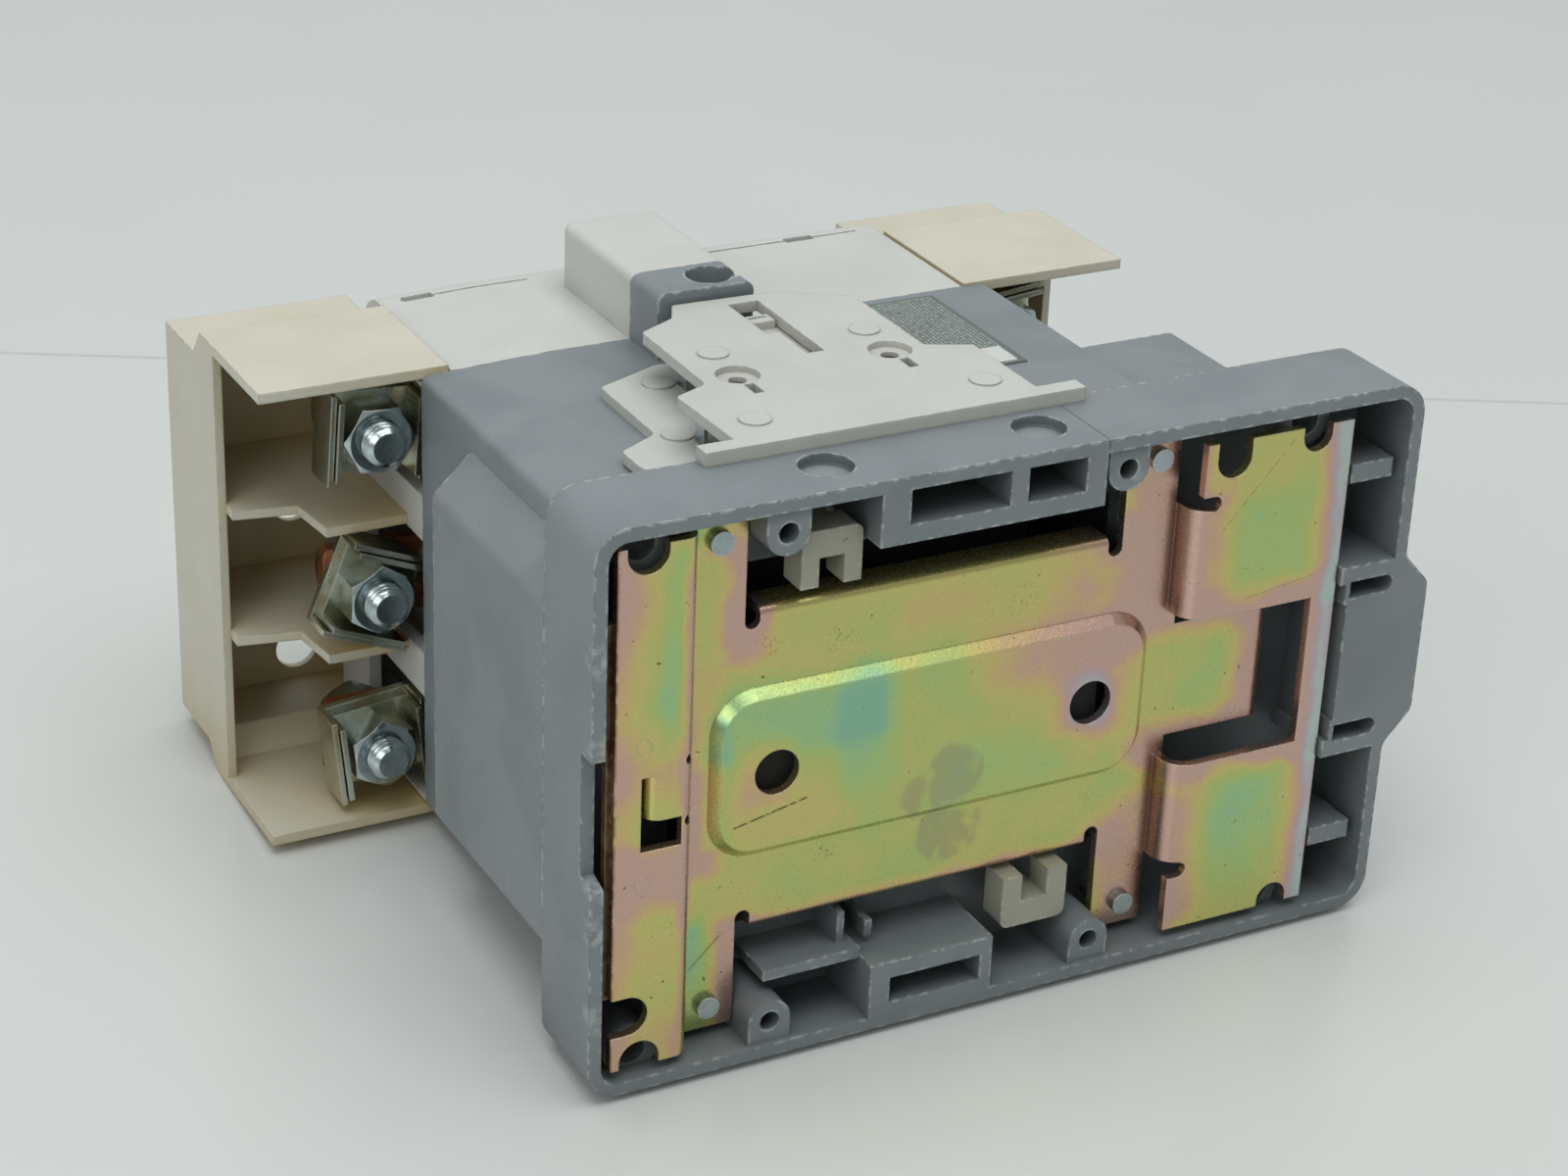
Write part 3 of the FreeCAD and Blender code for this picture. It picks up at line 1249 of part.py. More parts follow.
def splitter(end, index, z):
    """Steel plate across the arc, notched towards the contacts."""
    x = works_x + end * (splitter_start + index * splitter_pitch)
    far = cover_front - wall - seat_gap
    outline = [(splitter_near, -splitter_half), (far, -splitter_half), (far, splitter_half),
               (splitter_near, splitter_half), (splitter_near, splitter_notch),
               (splitter_near + 9.0, 0), (splitter_near, -splitter_notch)]
    return slab_x([(y, z + dz) for y, dz in outline], x - splitter_thick / 2, x + splitter_thick / 2)


add("arc_splitters", *[splitter(end, index, z)
                       for end in ends for index in range(splitter_count) for z in poles])

os.makedirs("parts", exist_ok=True)
for name, shape in parts.items():
    shape.exportStep("parts/" + name + ".step")
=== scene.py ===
import math

import bpy
from mathutils import Matrix, Vector


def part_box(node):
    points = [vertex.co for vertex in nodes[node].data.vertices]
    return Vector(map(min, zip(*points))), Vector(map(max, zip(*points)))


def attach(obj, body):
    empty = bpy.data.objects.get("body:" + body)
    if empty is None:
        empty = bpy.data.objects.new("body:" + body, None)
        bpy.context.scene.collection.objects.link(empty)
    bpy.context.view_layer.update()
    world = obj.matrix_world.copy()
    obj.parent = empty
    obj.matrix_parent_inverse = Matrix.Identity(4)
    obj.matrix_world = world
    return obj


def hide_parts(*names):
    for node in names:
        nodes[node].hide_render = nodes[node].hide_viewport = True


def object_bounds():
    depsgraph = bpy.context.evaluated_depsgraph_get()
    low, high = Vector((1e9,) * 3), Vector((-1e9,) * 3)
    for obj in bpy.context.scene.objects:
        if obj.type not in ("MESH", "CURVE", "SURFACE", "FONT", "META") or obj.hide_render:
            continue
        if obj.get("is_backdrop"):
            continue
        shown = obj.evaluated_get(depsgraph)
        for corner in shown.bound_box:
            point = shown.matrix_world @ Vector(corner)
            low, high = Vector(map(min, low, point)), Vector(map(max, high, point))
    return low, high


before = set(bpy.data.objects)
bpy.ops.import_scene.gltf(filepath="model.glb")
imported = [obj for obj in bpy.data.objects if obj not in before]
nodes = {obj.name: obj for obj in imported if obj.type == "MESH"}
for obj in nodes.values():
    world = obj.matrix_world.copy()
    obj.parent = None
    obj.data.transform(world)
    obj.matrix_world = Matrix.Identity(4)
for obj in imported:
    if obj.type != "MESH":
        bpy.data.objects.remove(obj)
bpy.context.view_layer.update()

# Viewpoint
# The camera stands low behind the line end and looks down on the rear of the base.
# Its lens is set from a focal length in pixels of a frame 1600 pixels wide.
camera_place = (-0.27497, -0.43190, 0.27690)
camera_right = (0.886112, -0.462053, 0.036228)
camera_down = (-0.174033, -0.404163, -0.897978)
camera_forward = (0.429556, 0.789405, -0.438545)
focal_pixels = 3494.7
frame_pixels = 1600
film_width = 36.0

camera_data = bpy.data.cameras.new("viewpoint")
camera_data.sensor_width = film_width
camera_data.lens = focal_pixels / frame_pixels * film_width
camera_data.clip_start = 0.01
camera_data.clip_end = 20
camera = bpy.data.objects.new("viewpoint", camera_data)
bpy.context.scene.collection.objects.link(camera)
turn = Matrix((camera_right, [-v for v in camera_down], [-v for v in camera_forward])).transposed()
camera.matrix_world = Matrix.Translation(camera_place) @ turn.to_4x4()
bpy.context.scene.camera = camera

# Table and light
# The contactor lies on its side on a pale glossy table, tipped forward onto its shrouds.
# The table passes under the front edge of the base and the lower edge of the shrouds.
table_reach = 2.6
base_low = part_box("rear_base")[0].z
base_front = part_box("rear_base")[1].y
shroud_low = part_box("line_shroud")[0].z
shroud_step_y = 0.1198
table_slope = math.atan2(shroud_low - base_low, shroud_step_y - base_front)
board_joint = ((-0.08425, 0.30564), (0.26101, 0.15720))
joint_half_width = 0.0012


def paint(red, green, blue):
    """Linear colour of a paint chip given in steps from 0 to 255."""
    steps = [value / 255 for value in (red, green, blue)]
    return tuple(v / 12.92 if v <= 0.04045 else ((v + 0.055) / 1.055) ** 2.4 for v in steps) + (1.0,)


def put(tree, kind, inputs=None, **settings):
    """A node with its settings, and its inputs set to a value or linked from another socket."""
    node = tree.nodes.new(kind)
    for name, value in settings.items():
        setattr(node, name, value)
    for name, value in (inputs or {}).items():
        if isinstance(value, bpy.types.NodeSocket):
            tree.links.new(value, node.inputs[name])
        else:
            node.inputs[name].default_value = value
    return node


def reckon(tree, operation, *values, clamp=False):
    """Result of one Math node on numbers or sockets."""
    node = put(tree, "ShaderNodeMath", dict(enumerate(values)), operation=operation, use_clamp=clamp)
    return node.outputs[0]


def ramp_up(tree, value, low, high):
    """Smooth rise from 0 to 1 as a value passes from low to high."""
    inputs = {"Value": value, "From Min": low, "From Max": high}
    return put(tree, "ShaderNodeMapRange", inputs, interpolation_type="SMOOTHSTEP").outputs[0]


def lay_over(tree, share, under, over):
    """Colour that goes from one to another by a share."""
    return put(tree, "ShaderNodeMix", {0: share, 6: under, 7: over}, data_type="RGBA").outputs[2]


def cloud(tree, place, scale, detail=2.0, distortion=0.0):
    """Noise from 0 to 1 at a scale in cycles per millimetre."""
    inputs = {"Vector": place, "Scale": scale, "Detail": detail, "Distortion": distortion}
    return put(tree, "ShaderNodeTexNoise", inputs).outputs[0]


def new_material(name):
    """An empty material, with its tree and its Principled shader."""
    material = bpy.data.materials.new(name)
    material.use_nodes = True
    tree = material.node_tree
    return material, tree, tree.nodes["Principled BSDF"]


def mesh_object(name, points, faces):
    """A mesh object linked to the scene."""
    mesh = bpy.data.meshes.new(name)
    mesh.from_pydata(points, [], faces)
    piece = bpy.data.objects.new(name, mesh)
    bpy.context.scene.collection.objects.link(piece)
    return piece


table_material, tree, shader = new_material("table_gloss")
table_place = put(tree, "ShaderNodeNewGeometry").outputs["Position"]
(joint_x0, joint_y0), (joint_x1, joint_y1) = board_joint
across = Vector((joint_y0 - joint_y1, joint_x1 - joint_x0, 0)).normalized()
depth = put(tree, "ShaderNodeVectorMath", {0: table_place, 1: across}, operation="DOT_PRODUCT")
past_joint = reckon(tree, "SUBTRACT", depth.outputs["Value"], across.x * joint_x0 + across.y * joint_y0)
past_joint = reckon(tree, "ABSOLUTE", past_joint)
joint_line = reckon(tree, "SUBTRACT", 1.0, ramp_up(tree, past_joint, 0.0, joint_half_width))
smear = cloud(tree, table_place, 9.0, 4.0, 0.6)
table_tone = lay_over(tree, smear, paint(206, 210, 208), paint(213, 216, 213))
table_tone = lay_over(tree, reckon(tree, "MULTIPLY", joint_line, 0.35), table_tone, paint(150, 154, 154))
tree.links.new(table_tone, shader.inputs["Base Color"])
tree.links.new(reckon(tree, "MULTIPLY_ADD", smear, 0.1, 0.13), shader.inputs["Roughness"])
table = mesh_object("table", [(-table_reach, -table_reach, 0), (table_reach, -table_reach, 0),
                              (table_reach, table_reach, 0), (-table_reach, table_reach, 0)], [(0, 1, 2, 3)])
table.matrix_world = Matrix.Translation((0, base_front, base_low)) @ Matrix.Rotation(table_slope, 4, "X")
table.data.materials.append(table_material)
table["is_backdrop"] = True

world = bpy.data.worlds.new("studio")
world.use_nodes = True
bpy.context.scene.world = world
sky = world.node_tree
way = put(sky, "ShaderNodeTexCoord").outputs["Generated"]
near_side = put(sky, "ShaderNodeSeparateXYZ", {0: way}).outputs["Y"]
dim_share = ramp_up(sky, reckon(sky, "MULTIPLY", near_side, -1.0), -0.1, 0.75)
room = lay_over(sky, dim_share, paint(232, 236, 236), paint(196, 201, 200))
sky.links.new(room, sky.nodes["Background"].inputs["Color"])
sky.nodes["Background"].inputs["Strength"].default_value = 0.6


def soft_light(name, place, target, size, power):
    """Square area lamp aimed at a point."""
    lamp = bpy.data.lights.new(name, "AREA")
    lamp.shape = "SQUARE"
    lamp.size = size
    lamp.energy = power
    holder = bpy.data.objects.new(name, lamp)
    bpy.context.scene.collection.objects.link(holder)
    holder.location = place
    aim = Vector(target) - Vector(place)
    holder.rotation_mode = "QUATERNION"
    holder.rotation_quaternion = aim.to_track_quat("-Z", "Y")


lamp_target = (0, 0.05, 0)
soft_light("overhead", (0.0, -0.15, 1.35), lamp_target, size=1.4, power=13.5)
soft_light("left_window", (-1.2, -0.8, 0.7), lamp_target, size=0.9, power=4.2)
bpy.context.scene.view_settings.view_transform = "Standard"

# Rear base
# The deep tray that the whole contactor stands on, with ribs, posts and end pockets.
# Moulded in worn grey plastic, rubbed pale along the rim where it was handled.
grey_tone = paint(131, 139, 142)
grey_shade = paint(112, 120, 124)
grey_rub = paint(192, 197, 196)
grey_soil = paint(62, 60, 55)
parting_x = 20.4
rim_z = (50.0, 51.5)
disc_places = (-28.0, 12.2)
disc_y, disc_r, disc_floor_z = 9.4, 4.9, 50.5
chip_y = 0.6
chip_places = ((-71.6, 13.5), (-71.6, -10.5), (-71.4, 30.0), (-71.2, -20.0), (-71.2, -36.0))
disc_grey = paint(146, 155, 158)
tray_shadow = paint(70, 76, 78)


def shader_group(name, takes, gives):
    """A shader node group with named inputs and outputs, its input sockets and its end node."""
    group = bpy.data.node_groups.new(name, "ShaderNodeTree")
    kinds = {"float": "NodeSocketFloat", "vector": "NodeSocketVector", "colour": "NodeSocketColor"}
    for label, kind in takes.items():
        group.interface.new_socket(label, in_out="INPUT", socket_type=kinds[kind])
    for label, kind in gives.items():
        group.interface.new_socket(label, in_out="OUTPUT", socket_type=kinds[kind])
    return group, put(group, "NodeGroupInput").outputs, put(group, "NodeGroupOutput").inputs


def use_group(tree, group, inputs=None):
    """The outputs of a shader node group placed in a material with its own values."""
    return put(tree, "ShaderNodeGroup", inputs, node_tree=group).outputs


# Places on a piece in millimetres, so that marks can be set where they are on the real one.
part_place, take, give = shader_group("part_place", {},
                                      {"Place": "vector", "X": "float", "Y": "float", "Z": "float"})
own = put(part_place, "ShaderNodeTexCoord").outputs["Object"]
grown = put(part_place, "ShaderNodeVectorMath", {0: own, "Scale": 1000.0}, operation="SCALE").outputs[0]
split = put(part_place, "ShaderNodeSeparateXYZ", {0: grown}).outputs
part_place.links.new(grown, give["Place"])
for axis in "XYZ":
    part_place.links.new(split[axis], give[axis])

# Outer edges, inner hollows and slightly rounded edges of a piece.
worn_edges, take, give = shader_group("worn_edges", {"Reach": "float", "Depth": "float"},
                                      {"Edge": "float", "Hollow": "float", "Normal": "vector"})
rounded = put(worn_edges, "ShaderNodeBevel", {"Radius": take["Reach"]}, samples=2)
inner_room = put(worn_edges, "ShaderNodeAmbientOcclusion", {"Distance": take["Reach"]},
                 samples=3, inside=True, only_local=True).outputs["AO"]
outer_room = put(worn_edges, "ShaderNodeAmbientOcclusion", {"Distance": take["Depth"]},
                 samples=2).outputs["AO"]
edge_share = reckon(worn_edges, "SUBTRACT", 1.0, inner_room)
edge_share = reckon(worn_edges, "MULTIPLY", edge_share, 2.0, clamp=True)
worn_edges.links.new(edge_share, give["Edge"])
worn_edges.links.new(reckon(worn_edges, "SUBTRACT", 1.0, outer_room), give["Hollow"])
worn_edges.links.new(rounded.outputs[0], give["Normal"])

# Moulded plastic: mottled and finely specked, rubbed pale along its edges and soiled in its hollows.
moulded_skin, take, give = shader_group(
    "moulded_skin",
    {"Place": "vector", "Edge": "float", "Hollow": "float", "Tone": "colour", "Shade": "colour",
     "Rub": "colour", "Dirt": "colour", "Mottle": "float", "Wear": "float", "Soil": "float", "Gloss": "float"},
    {"Colour": "colour", "Roughness": "float", "Height": "float"})
broad = ramp_up(moulded_skin, cloud(moulded_skin, take["Place"], 0.045, 4.0, 0.4), 0.35, 0.7)
fine = cloud(moulded_skin, take["Place"], 1.6, 3.0)
speck = ramp_up(moulded_skin, cloud(moulded_skin, take["Place"], 1.1, 1.0), 0.77, 0.8)
broad = reckon(moulded_skin, "MULTIPLY", broad, take["Mottle"])
colour = lay_over(moulded_skin, broad, take["Tone"], take["Shade"])
colour = lay_over(moulded_skin, reckon(moulded_skin, "MULTIPLY", fine, 0.12), colour, take["Shade"])
stretched = put(moulded_skin, "ShaderNodeVectorMath", {0: take["Place"], 1: (0.05, 1.2, 0.16)},
                operation="MULTIPLY")
hairline = ramp_up(moulded_skin, cloud(moulded_skin, stretched.outputs[0], 1.0, 3.0), 0.69, 0.73)
patchy = ramp_up(moulded_skin, cloud(moulded_skin, take["Place"], 0.06, 2.0), 0.5, 0.65)
hairline = reckon(moulded_skin, "MULTIPLY", hairline, reckon(moulded_skin, "MULTIPLY", patchy, take["Wear"]))
colour = lay_over(moulded_skin, reckon(moulded_skin, "MULTIPLY", hairline, 0.35), colour, take["Rub"])
chipped = ramp_up(moulded_skin, cloud(moulded_skin, take["Place"], 0.55, 5.0), 0.46, 0.64)
chipped = reckon(moulded_skin, "MULTIPLY_ADD", chipped, 0.9, 0.14)
chipped = reckon(moulded_skin, "MULTIPLY", take["Edge"], chipped)
chipped = reckon(moulded_skin, "MULTIPLY", ramp_up(moulded_skin, chipped, 0.1, 0.55), take["Wear"])
colour = lay_over(moulded_skin, chipped, colour, take["Rub"])
soiled = reckon(moulded_skin, "MULTIPLY_ADD", cloud(moulded_skin, take["Place"], 0.25, 4.0), 0.9, 0.3)
soiled = reckon(moulded_skin, "MULTIPLY", take["Hollow"], soiled)
soiled = reckon(moulded_skin, "MULTIPLY", soiled, take["Soil"])
specked = reckon(moulded_skin, "MULTIPLY", speck, take["Soil"])
soiled = reckon(moulded_skin, "ADD", soiled, specked, clamp=True)
colour = lay_over(moulded_skin, soiled, colour, take["Dirt"])
moulded_skin.links.new(colour, give["Colour"])
rough = reckon(moulded_skin, "MULTIPLY_ADD", fine, 0.14, take["Gloss"])
moulded_skin.links.new(reckon(moulded_skin, "ADD", rough, reckon(moulded_skin, "MULTIPLY", chipped, 0.2)),
                       give["Roughness"])
moulded_skin.links.new(reckon(moulded_skin, "ADD", cloud(moulded_skin, take["Place"], 3.2, 2.0),
                              reckon(moulded_skin, "MULTIPLY", chipped, -1.2)), give["Height"])


def moulded(name, tone, shade, rub, dirt, mottle, wear, soil, gloss, grain=0.00002, reach=0.0006,
            depth=0.006):
    """Moulded plastic. Returns the material, its tree, its shader and its place and edge sockets."""
    material, tree, shader = new_material(name)
    spot = use_group(tree, part_place)
    edges = use_group(tree, worn_edges, {"Reach": reach, "Depth": depth})
    skin = use_group(tree, moulded_skin, {
        "Place": spot["Place"], "Edge": edges["Edge"], "Hollow": edges["Hollow"], "Tone": tone,
        "Shade": shade, "Rub": rub, "Dirt": dirt, "Mottle": mottle, "Wear": wear, "Soil": soil, "Gloss": gloss})
    bump = put(tree, "ShaderNodeBump", {"Strength": 1.0, "Distance": grain, "Height": skin["Height"],
                                        "Normal": edges["Normal"]})
    tree.links.new(skin["Colour"], shader.inputs["Base Color"])
    tree.links.new(skin["Roughness"], shader.inputs["Roughness"])
    tree.links.new(bump.outputs[0], shader.inputs["Normal"])
    return material, tree, shader, spot, edges


def mark(tree, shader, share, colour):
    """Lays a colour over what the shader already shows, by a share."""
    under = shader.inputs["Base Color"].links[0].from_socket
    tree.links.new(lay_over(tree, share, under, colour), shader.inputs["Base Color"])


def stripe(tree, value, centre, half, soft):
    """1 within half of a centre along one axis, falling smoothly to 0 over a soft margin."""
    off = reckon(tree, "ABSOLUTE", reckon(tree, "SUBTRACT", value, centre))
    return reckon(tree, "SUBTRACT", 1.0, ramp_up(tree, off, half, half + soft))


def near_place(tree, place, centre, radius, soft):
    """1 within a radius of a place, falling smoothly to 0 over a soft margin."""
    gap = put(tree, "ShaderNodeVectorMath", {0: place, 1: centre}, operation="DISTANCE").outputs["Value"]
    return reckon(tree, "SUBTRACT", 1.0, ramp_up(tree, gap, radius, radius + soft))


def both(tree, *shares):
    """Product of shares."""
    result = shares[0]
    for share in shares[1:]:
        result = reckon(tree, "MULTIPLY", result, share)
    return result


def dress(node, material):
    """Gives a node its material."""
    nodes[node].data.materials.clear()
    nodes[node].data.materials.append(material)


def grey_moulding(name, depth):
    """Grey plastic of the base and the housing."""
    return moulded(name, grey_tone, grey_shade, grey_rub, grey_soil,
                   mottle=0.55, wear=0.75, soil=0.4, gloss=0.36, depth=depth)


base_grey, tree, shader, spot, edges = grey_moulding("base_grey_moulding", 0.016)
parting = stripe(tree, spot["X"], parting_x, half=0.08, soft=0.12)
parting = both(tree, parting, ramp_up(tree, spot["Z"], *rim_z))
mark(tree, shader, reckon(tree, "MULTIPLY", parting, 0.7), grey_soil)
ragged = ramp_up(tree, cloud(tree, spot["Place"], 0.5, 5.0), 0.42, 0.6)
for x, z in chip_places:
    chip = both(tree, near_place(tree, spot["Place"], (x, chip_y, z), radius=1.0, soft=3.2), ragged)
    mark(tree, shader, reckon(tree, "MULTIPLY", chip, 0.55), grey_rub)
for x in disc_places:
    floor = both(tree, near_place(tree, spot["Place"], (x, disc_y, disc_floor_z), disc_r, soft=0.3),
                 stripe(tree, spot["Z"], disc_floor_z, half=0.3, soft=0.3))
    mark(tree, shader, floor, disc_grey)
in_tray = ramp_up(tree, edges["Hollow"], 0.22, 0.85)
mark(tree, shader, reckon(tree, "MULTIPLY", in_tray, 0.72), tray_shadow)
dress("rear_base", base_grey)

# Magnet core in its tray
# Stacked steel sheets riveted into two E-shaped blocks, with copper rings let into the pole faces.
# The fixed one lies on a rubber cushion on the base, and the other is carried by the contact carrier.
sheet_pitch = 0.5
core_iron, tree, shader = new_material("stacked_core_steel")
spot = use_group(tree, part_place)
edges = use_group(tree, worn_edges, {"Reach": 0.0004, "Depth": 0.004})
layer = reckon(tree, "PINGPONG", spot["Z"], sheet_pitch)
layer = ramp_up(tree, layer, 0.05, 0.2)
iron = lay_over(tree, layer, paint(60, 60, 60), paint(128, 130, 130))
rusty = both(tree, cloud(tree, spot["Place"], 0.2, 4.0), edges["Hollow"])
iron = lay_over(tree, rusty, iron, paint(84, 58, 40))
tree.links.new(iron, shader.inputs["Base Color"])
tree.links.new(reckon(tree, "MULTIPLY_ADD", layer, -0.15, 0.5), shader.inputs["Roughness"])
shader.inputs["Metallic"].default_value = 0.9
bump = put(tree, "ShaderNodeBump", {"Strength": 0.6, "Distance": 0.0001, "Height": layer,
                                    "Normal": edges["Normal"]})
tree.links.new(bump.outputs[0], shader.inputs["Normal"])
for node in ("fixed_core", "armature", "arc_splitters"):
    dress(node, core_iron)

rubber, *_ = moulded("cushion_rubber_black", paint(40, 40, 40), paint(30, 30, 30), paint(80, 80, 80),
                     paint(70, 66, 60), mottle=0.5, wear=0.3, soil=0.4, gloss=0.7)
dress("core_cushion", rubber)

# Coil and its return springs
# Enamelled copper wire wound in level layers on a black moulded former, over the middle leg.
# Two coil springs beside it push the contact carrier forward again.
wire_pitch = 0.7
enamel, tree, shader = new_material("enamelled_wire")
spot = use_group(tree, part_place)
turns = reckon(tree, "SINE", reckon(tree, "MULTIPLY", spot["Y"], 2 * math.pi / wire_pitch))
turns = ramp_up(tree, turns, -0.9, 0.6)
tree.links.new(lay_over(tree, turns, paint(92, 40, 20), paint(188, 104, 58)), shader.inputs["Base Color"])
tree.links.new(reckon(tree, "MULTIPLY_ADD", turns, -0.1, 0.38), shader.inputs["Roughness"])
shader.inputs["Metallic"].default_value = 0.7
bump = put(tree, "ShaderNodeBump", {"Strength": 0.8, "Distance": 0.0003, "Height": turns})
tree.links.new(bump.outputs[0], shader.inputs["Normal"])
dress("coil_winding", enamel)

black, *_ = moulded("black_moulding_plain", paint(42, 43, 44), paint(34, 35, 36), paint(96, 98, 98),
                    paint(78, 74, 66), mottle=0.5, wear=0.5, soil=0.5, gloss=0.42)
dress("coil_bobbin", black)
dress("contact_carrier", black)

# Plated metal: a bright or coloured plating with a soft mottled tint, edges rubbed bright and dirt in its
# hollows.
plated_skin, take, give = shader_group(
    "plated_skin",
    {"Place": "vector", "Edge": "float", "Hollow": "float", "Tone": "colour", "Tint": "colour",
     "Bright": "colour", "Dirt": "colour", "Bloom": "float", "Soil": "float", "Gloss": "float"},
    {"Colour": "colour", "Roughness": "float", "Height": "float"})
bloom = ramp_up(plated_skin, cloud(plated_skin, take["Place"], 0.22, 4.0, 0.8), 0.38, 0.68)
grain = cloud(plated_skin, take["Place"], 2.4, 4.0)
bloomed = reckon(plated_skin, "MULTIPLY", bloom, take["Bloom"])
colour = lay_over(plated_skin, bloomed, take["Tone"], take["Tint"])
rubbed = reckon(plated_skin, "MULTIPLY", take["Edge"], reckon(plated_skin, "ADD", grain, 0.2))
rubbed = ramp_up(plated_skin, rubbed, 0.2, 0.6)
colour = lay_over(plated_skin, reckon(plated_skin, "MULTIPLY", rubbed, 0.7), colour, take["Bright"])
dull = reckon(plated_skin, "MULTIPLY", take["Soil"], reckon(plated_skin, "ADD", bloom, 0.35))
dull = reckon(plated_skin, "MULTIPLY", take["Hollow"], dull, clamp=True)
colour = lay_over(plated_skin, dull, colour, take["Dirt"])
plated_skin.links.new(colour, give["Colour"])
rough = reckon(plated_skin, "MULTIPLY_ADD", grain, 0.16, take["Gloss"])
rough = reckon(plated_skin, "ADD", rough, reckon(plated_skin, "MULTIPLY", dull, 0.35))
plated_skin.links.new(rough, give["Roughness"])
plated_skin.links.new(grain, give["Height"])


def plated(name, tone, tint, bright, dirt, bloom, soil, gloss, metallic, grain=0.00003, reach=0.0003):
    """Plated or bare metal. Returns the material, its tree, its shader and its place and edge sockets."""
    material, tree, shader = new_material(name)
    spot = use_group(tree, part_place)
    edges = use_group(tree, worn_edges, {"Reach": reach, "Depth": 0.003})
    skin = use_group(tree, plated_skin, {
        "Place": spot["Place"], "Edge": edges["Edge"], "Hollow": edges["Hollow"], "Tone": tone, "Tint": tint,
        "Bright": bright, "Dirt": dirt, "Bloom": bloom, "Soil": soil, "Gloss": gloss})
    bump = put(tree, "ShaderNodeBump", {"Strength": 0.7, "Distance": grain, "Height": skin["Height"],
                                        "Normal": edges["Normal"]})
    tree.links.new(skin["Colour"], shader.inputs["Base Color"])
    tree.links.new(skin["Roughness"], shader.inputs["Roughness"])
    tree.links.new(bump.outputs[0], shader.inputs["Normal"])
    shader.inputs["Metallic"].default_value = metallic
    return material, tree, shader, spot, edges


spring_wire, *_ = plated("drawn_spring_wire", paint(150, 152, 152), paint(126, 124, 118),
                         paint(205, 207, 207), paint(70, 62, 50), bloom=0.6, soil=0.7, gloss=0.24, metallic=1.0)
for node in ("return_spring_upper", "return_spring_lower", "contact_spring_1", "contact_spring_2",
             "contact_spring_3"):
    dress(node, spring_wire)

# Contacts and terminal bars
# Flat copper bars run from the terminals into the arc chambers, and a sprung copper bridge closes each pole.
# Silver tips are brazed on where they meet.
copper, *_ = plated("tarnished_copper", paint(196, 126, 92), paint(140, 80, 58), paint(226, 166, 132),
                    paint(60, 40, 30), bloom=0.8, soil=0.8, gloss=0.3, metallic=1.0)
silver, *_ = plated("contact_silver", paint(205, 204, 198), paint(160, 156, 146), paint(235, 235, 230),
                    paint(60, 56, 50), bloom=0.6, soil=0.8, gloss=0.34, metallic=1.0)
for pole in (1, 2, 3):
    dress(f"line_bar_{pole}", copper)
    dress(f"load_bar_{pole}", copper)
    dress(f"contact_bridge_{pole}", copper)
dress("shading_rings", copper)
dress("fixed_contact_tips", silver)

# Main housing
# The tall grey shell over the magnet, with sloping sides, a ledge under the terminals and a side hump.
# Moulded in the same grey plastic as the base, with a few scuffs and a thin parting line.
housing_grey, tree, shader, spot, edges = grey_moulding("housing_grey_moulding", 0.006)
parting = stripe(tree, spot["X"], parting_x, half=0.06, soft=0.1)
mark(tree, shader, reckon(tree, "MULTIPLY", parting, 0.45), grey_soil)
dress("main_housing", housing_grey)

# Front cover
# The white cap over the arc chambers, with a raised frame line and two small inserts on each long side.
# Moulded in white plastic, a little yellow where light and dust reached it.
white_tone = paint(201, 203, 199)
white_shade = paint(190, 191, 184)
white_rub = paint(226, 227, 224)
white_dirt = paint(128, 124, 110)
cover_white, *_ = moulded("cover_white_moulding", white_tone, white_shade, white_rub, white_dirt,
                          mottle=0.5, wear=0.5, soil=0.5, gloss=0.38)
dress("front_cover", cover_white)

# Small screws
# Cross-head steel screws with a clear zinc plating hold the cover, the coil leads and the side hump.
# A pressed pin at each corner of the mounting plate is plated the same way.
zinc_tone = paint(176, 186, 190)
zinc_tint = paint(150, 166, 164)
zinc_bright = paint(224, 230, 232)
zinc_dirt = paint(64, 66, 60)
zinc, *_ = plated("clear_zinc", zinc_tone, zinc_tint, zinc_bright, zinc_dirt,
                  bloom=0.7, soil=0.7, gloss=0.2, metallic=1.0)
for node in ("cover_screws", "coil_terminal_screws", "hump_screw", "armature_pin", "aux_blades",
             "plate_pins"):
    dress(node, zinc)

# Mounting plate and backing strip
# One pressed steel sheet with a joggled end strip, a raised pad, rolled flanges, a folded end and a cut-out.
# Its yellow passivation shows bands of olive, gold, pink, green and teal, by how thick the film is.
film_colours = (
    (0.00, (188, 206, 198)), (0.10, (194, 176, 190)), (0.22, (212, 170, 156)), (0.36, (216, 190, 132)),
    (0.50, (210, 202, 126)), (0.62, (192, 200, 124)), (0.76, (178, 206, 134)), (0.90, (156, 202, 160)),
    (1.00, (122, 182, 184)))
film_least, film_most = 0.21, 0.84
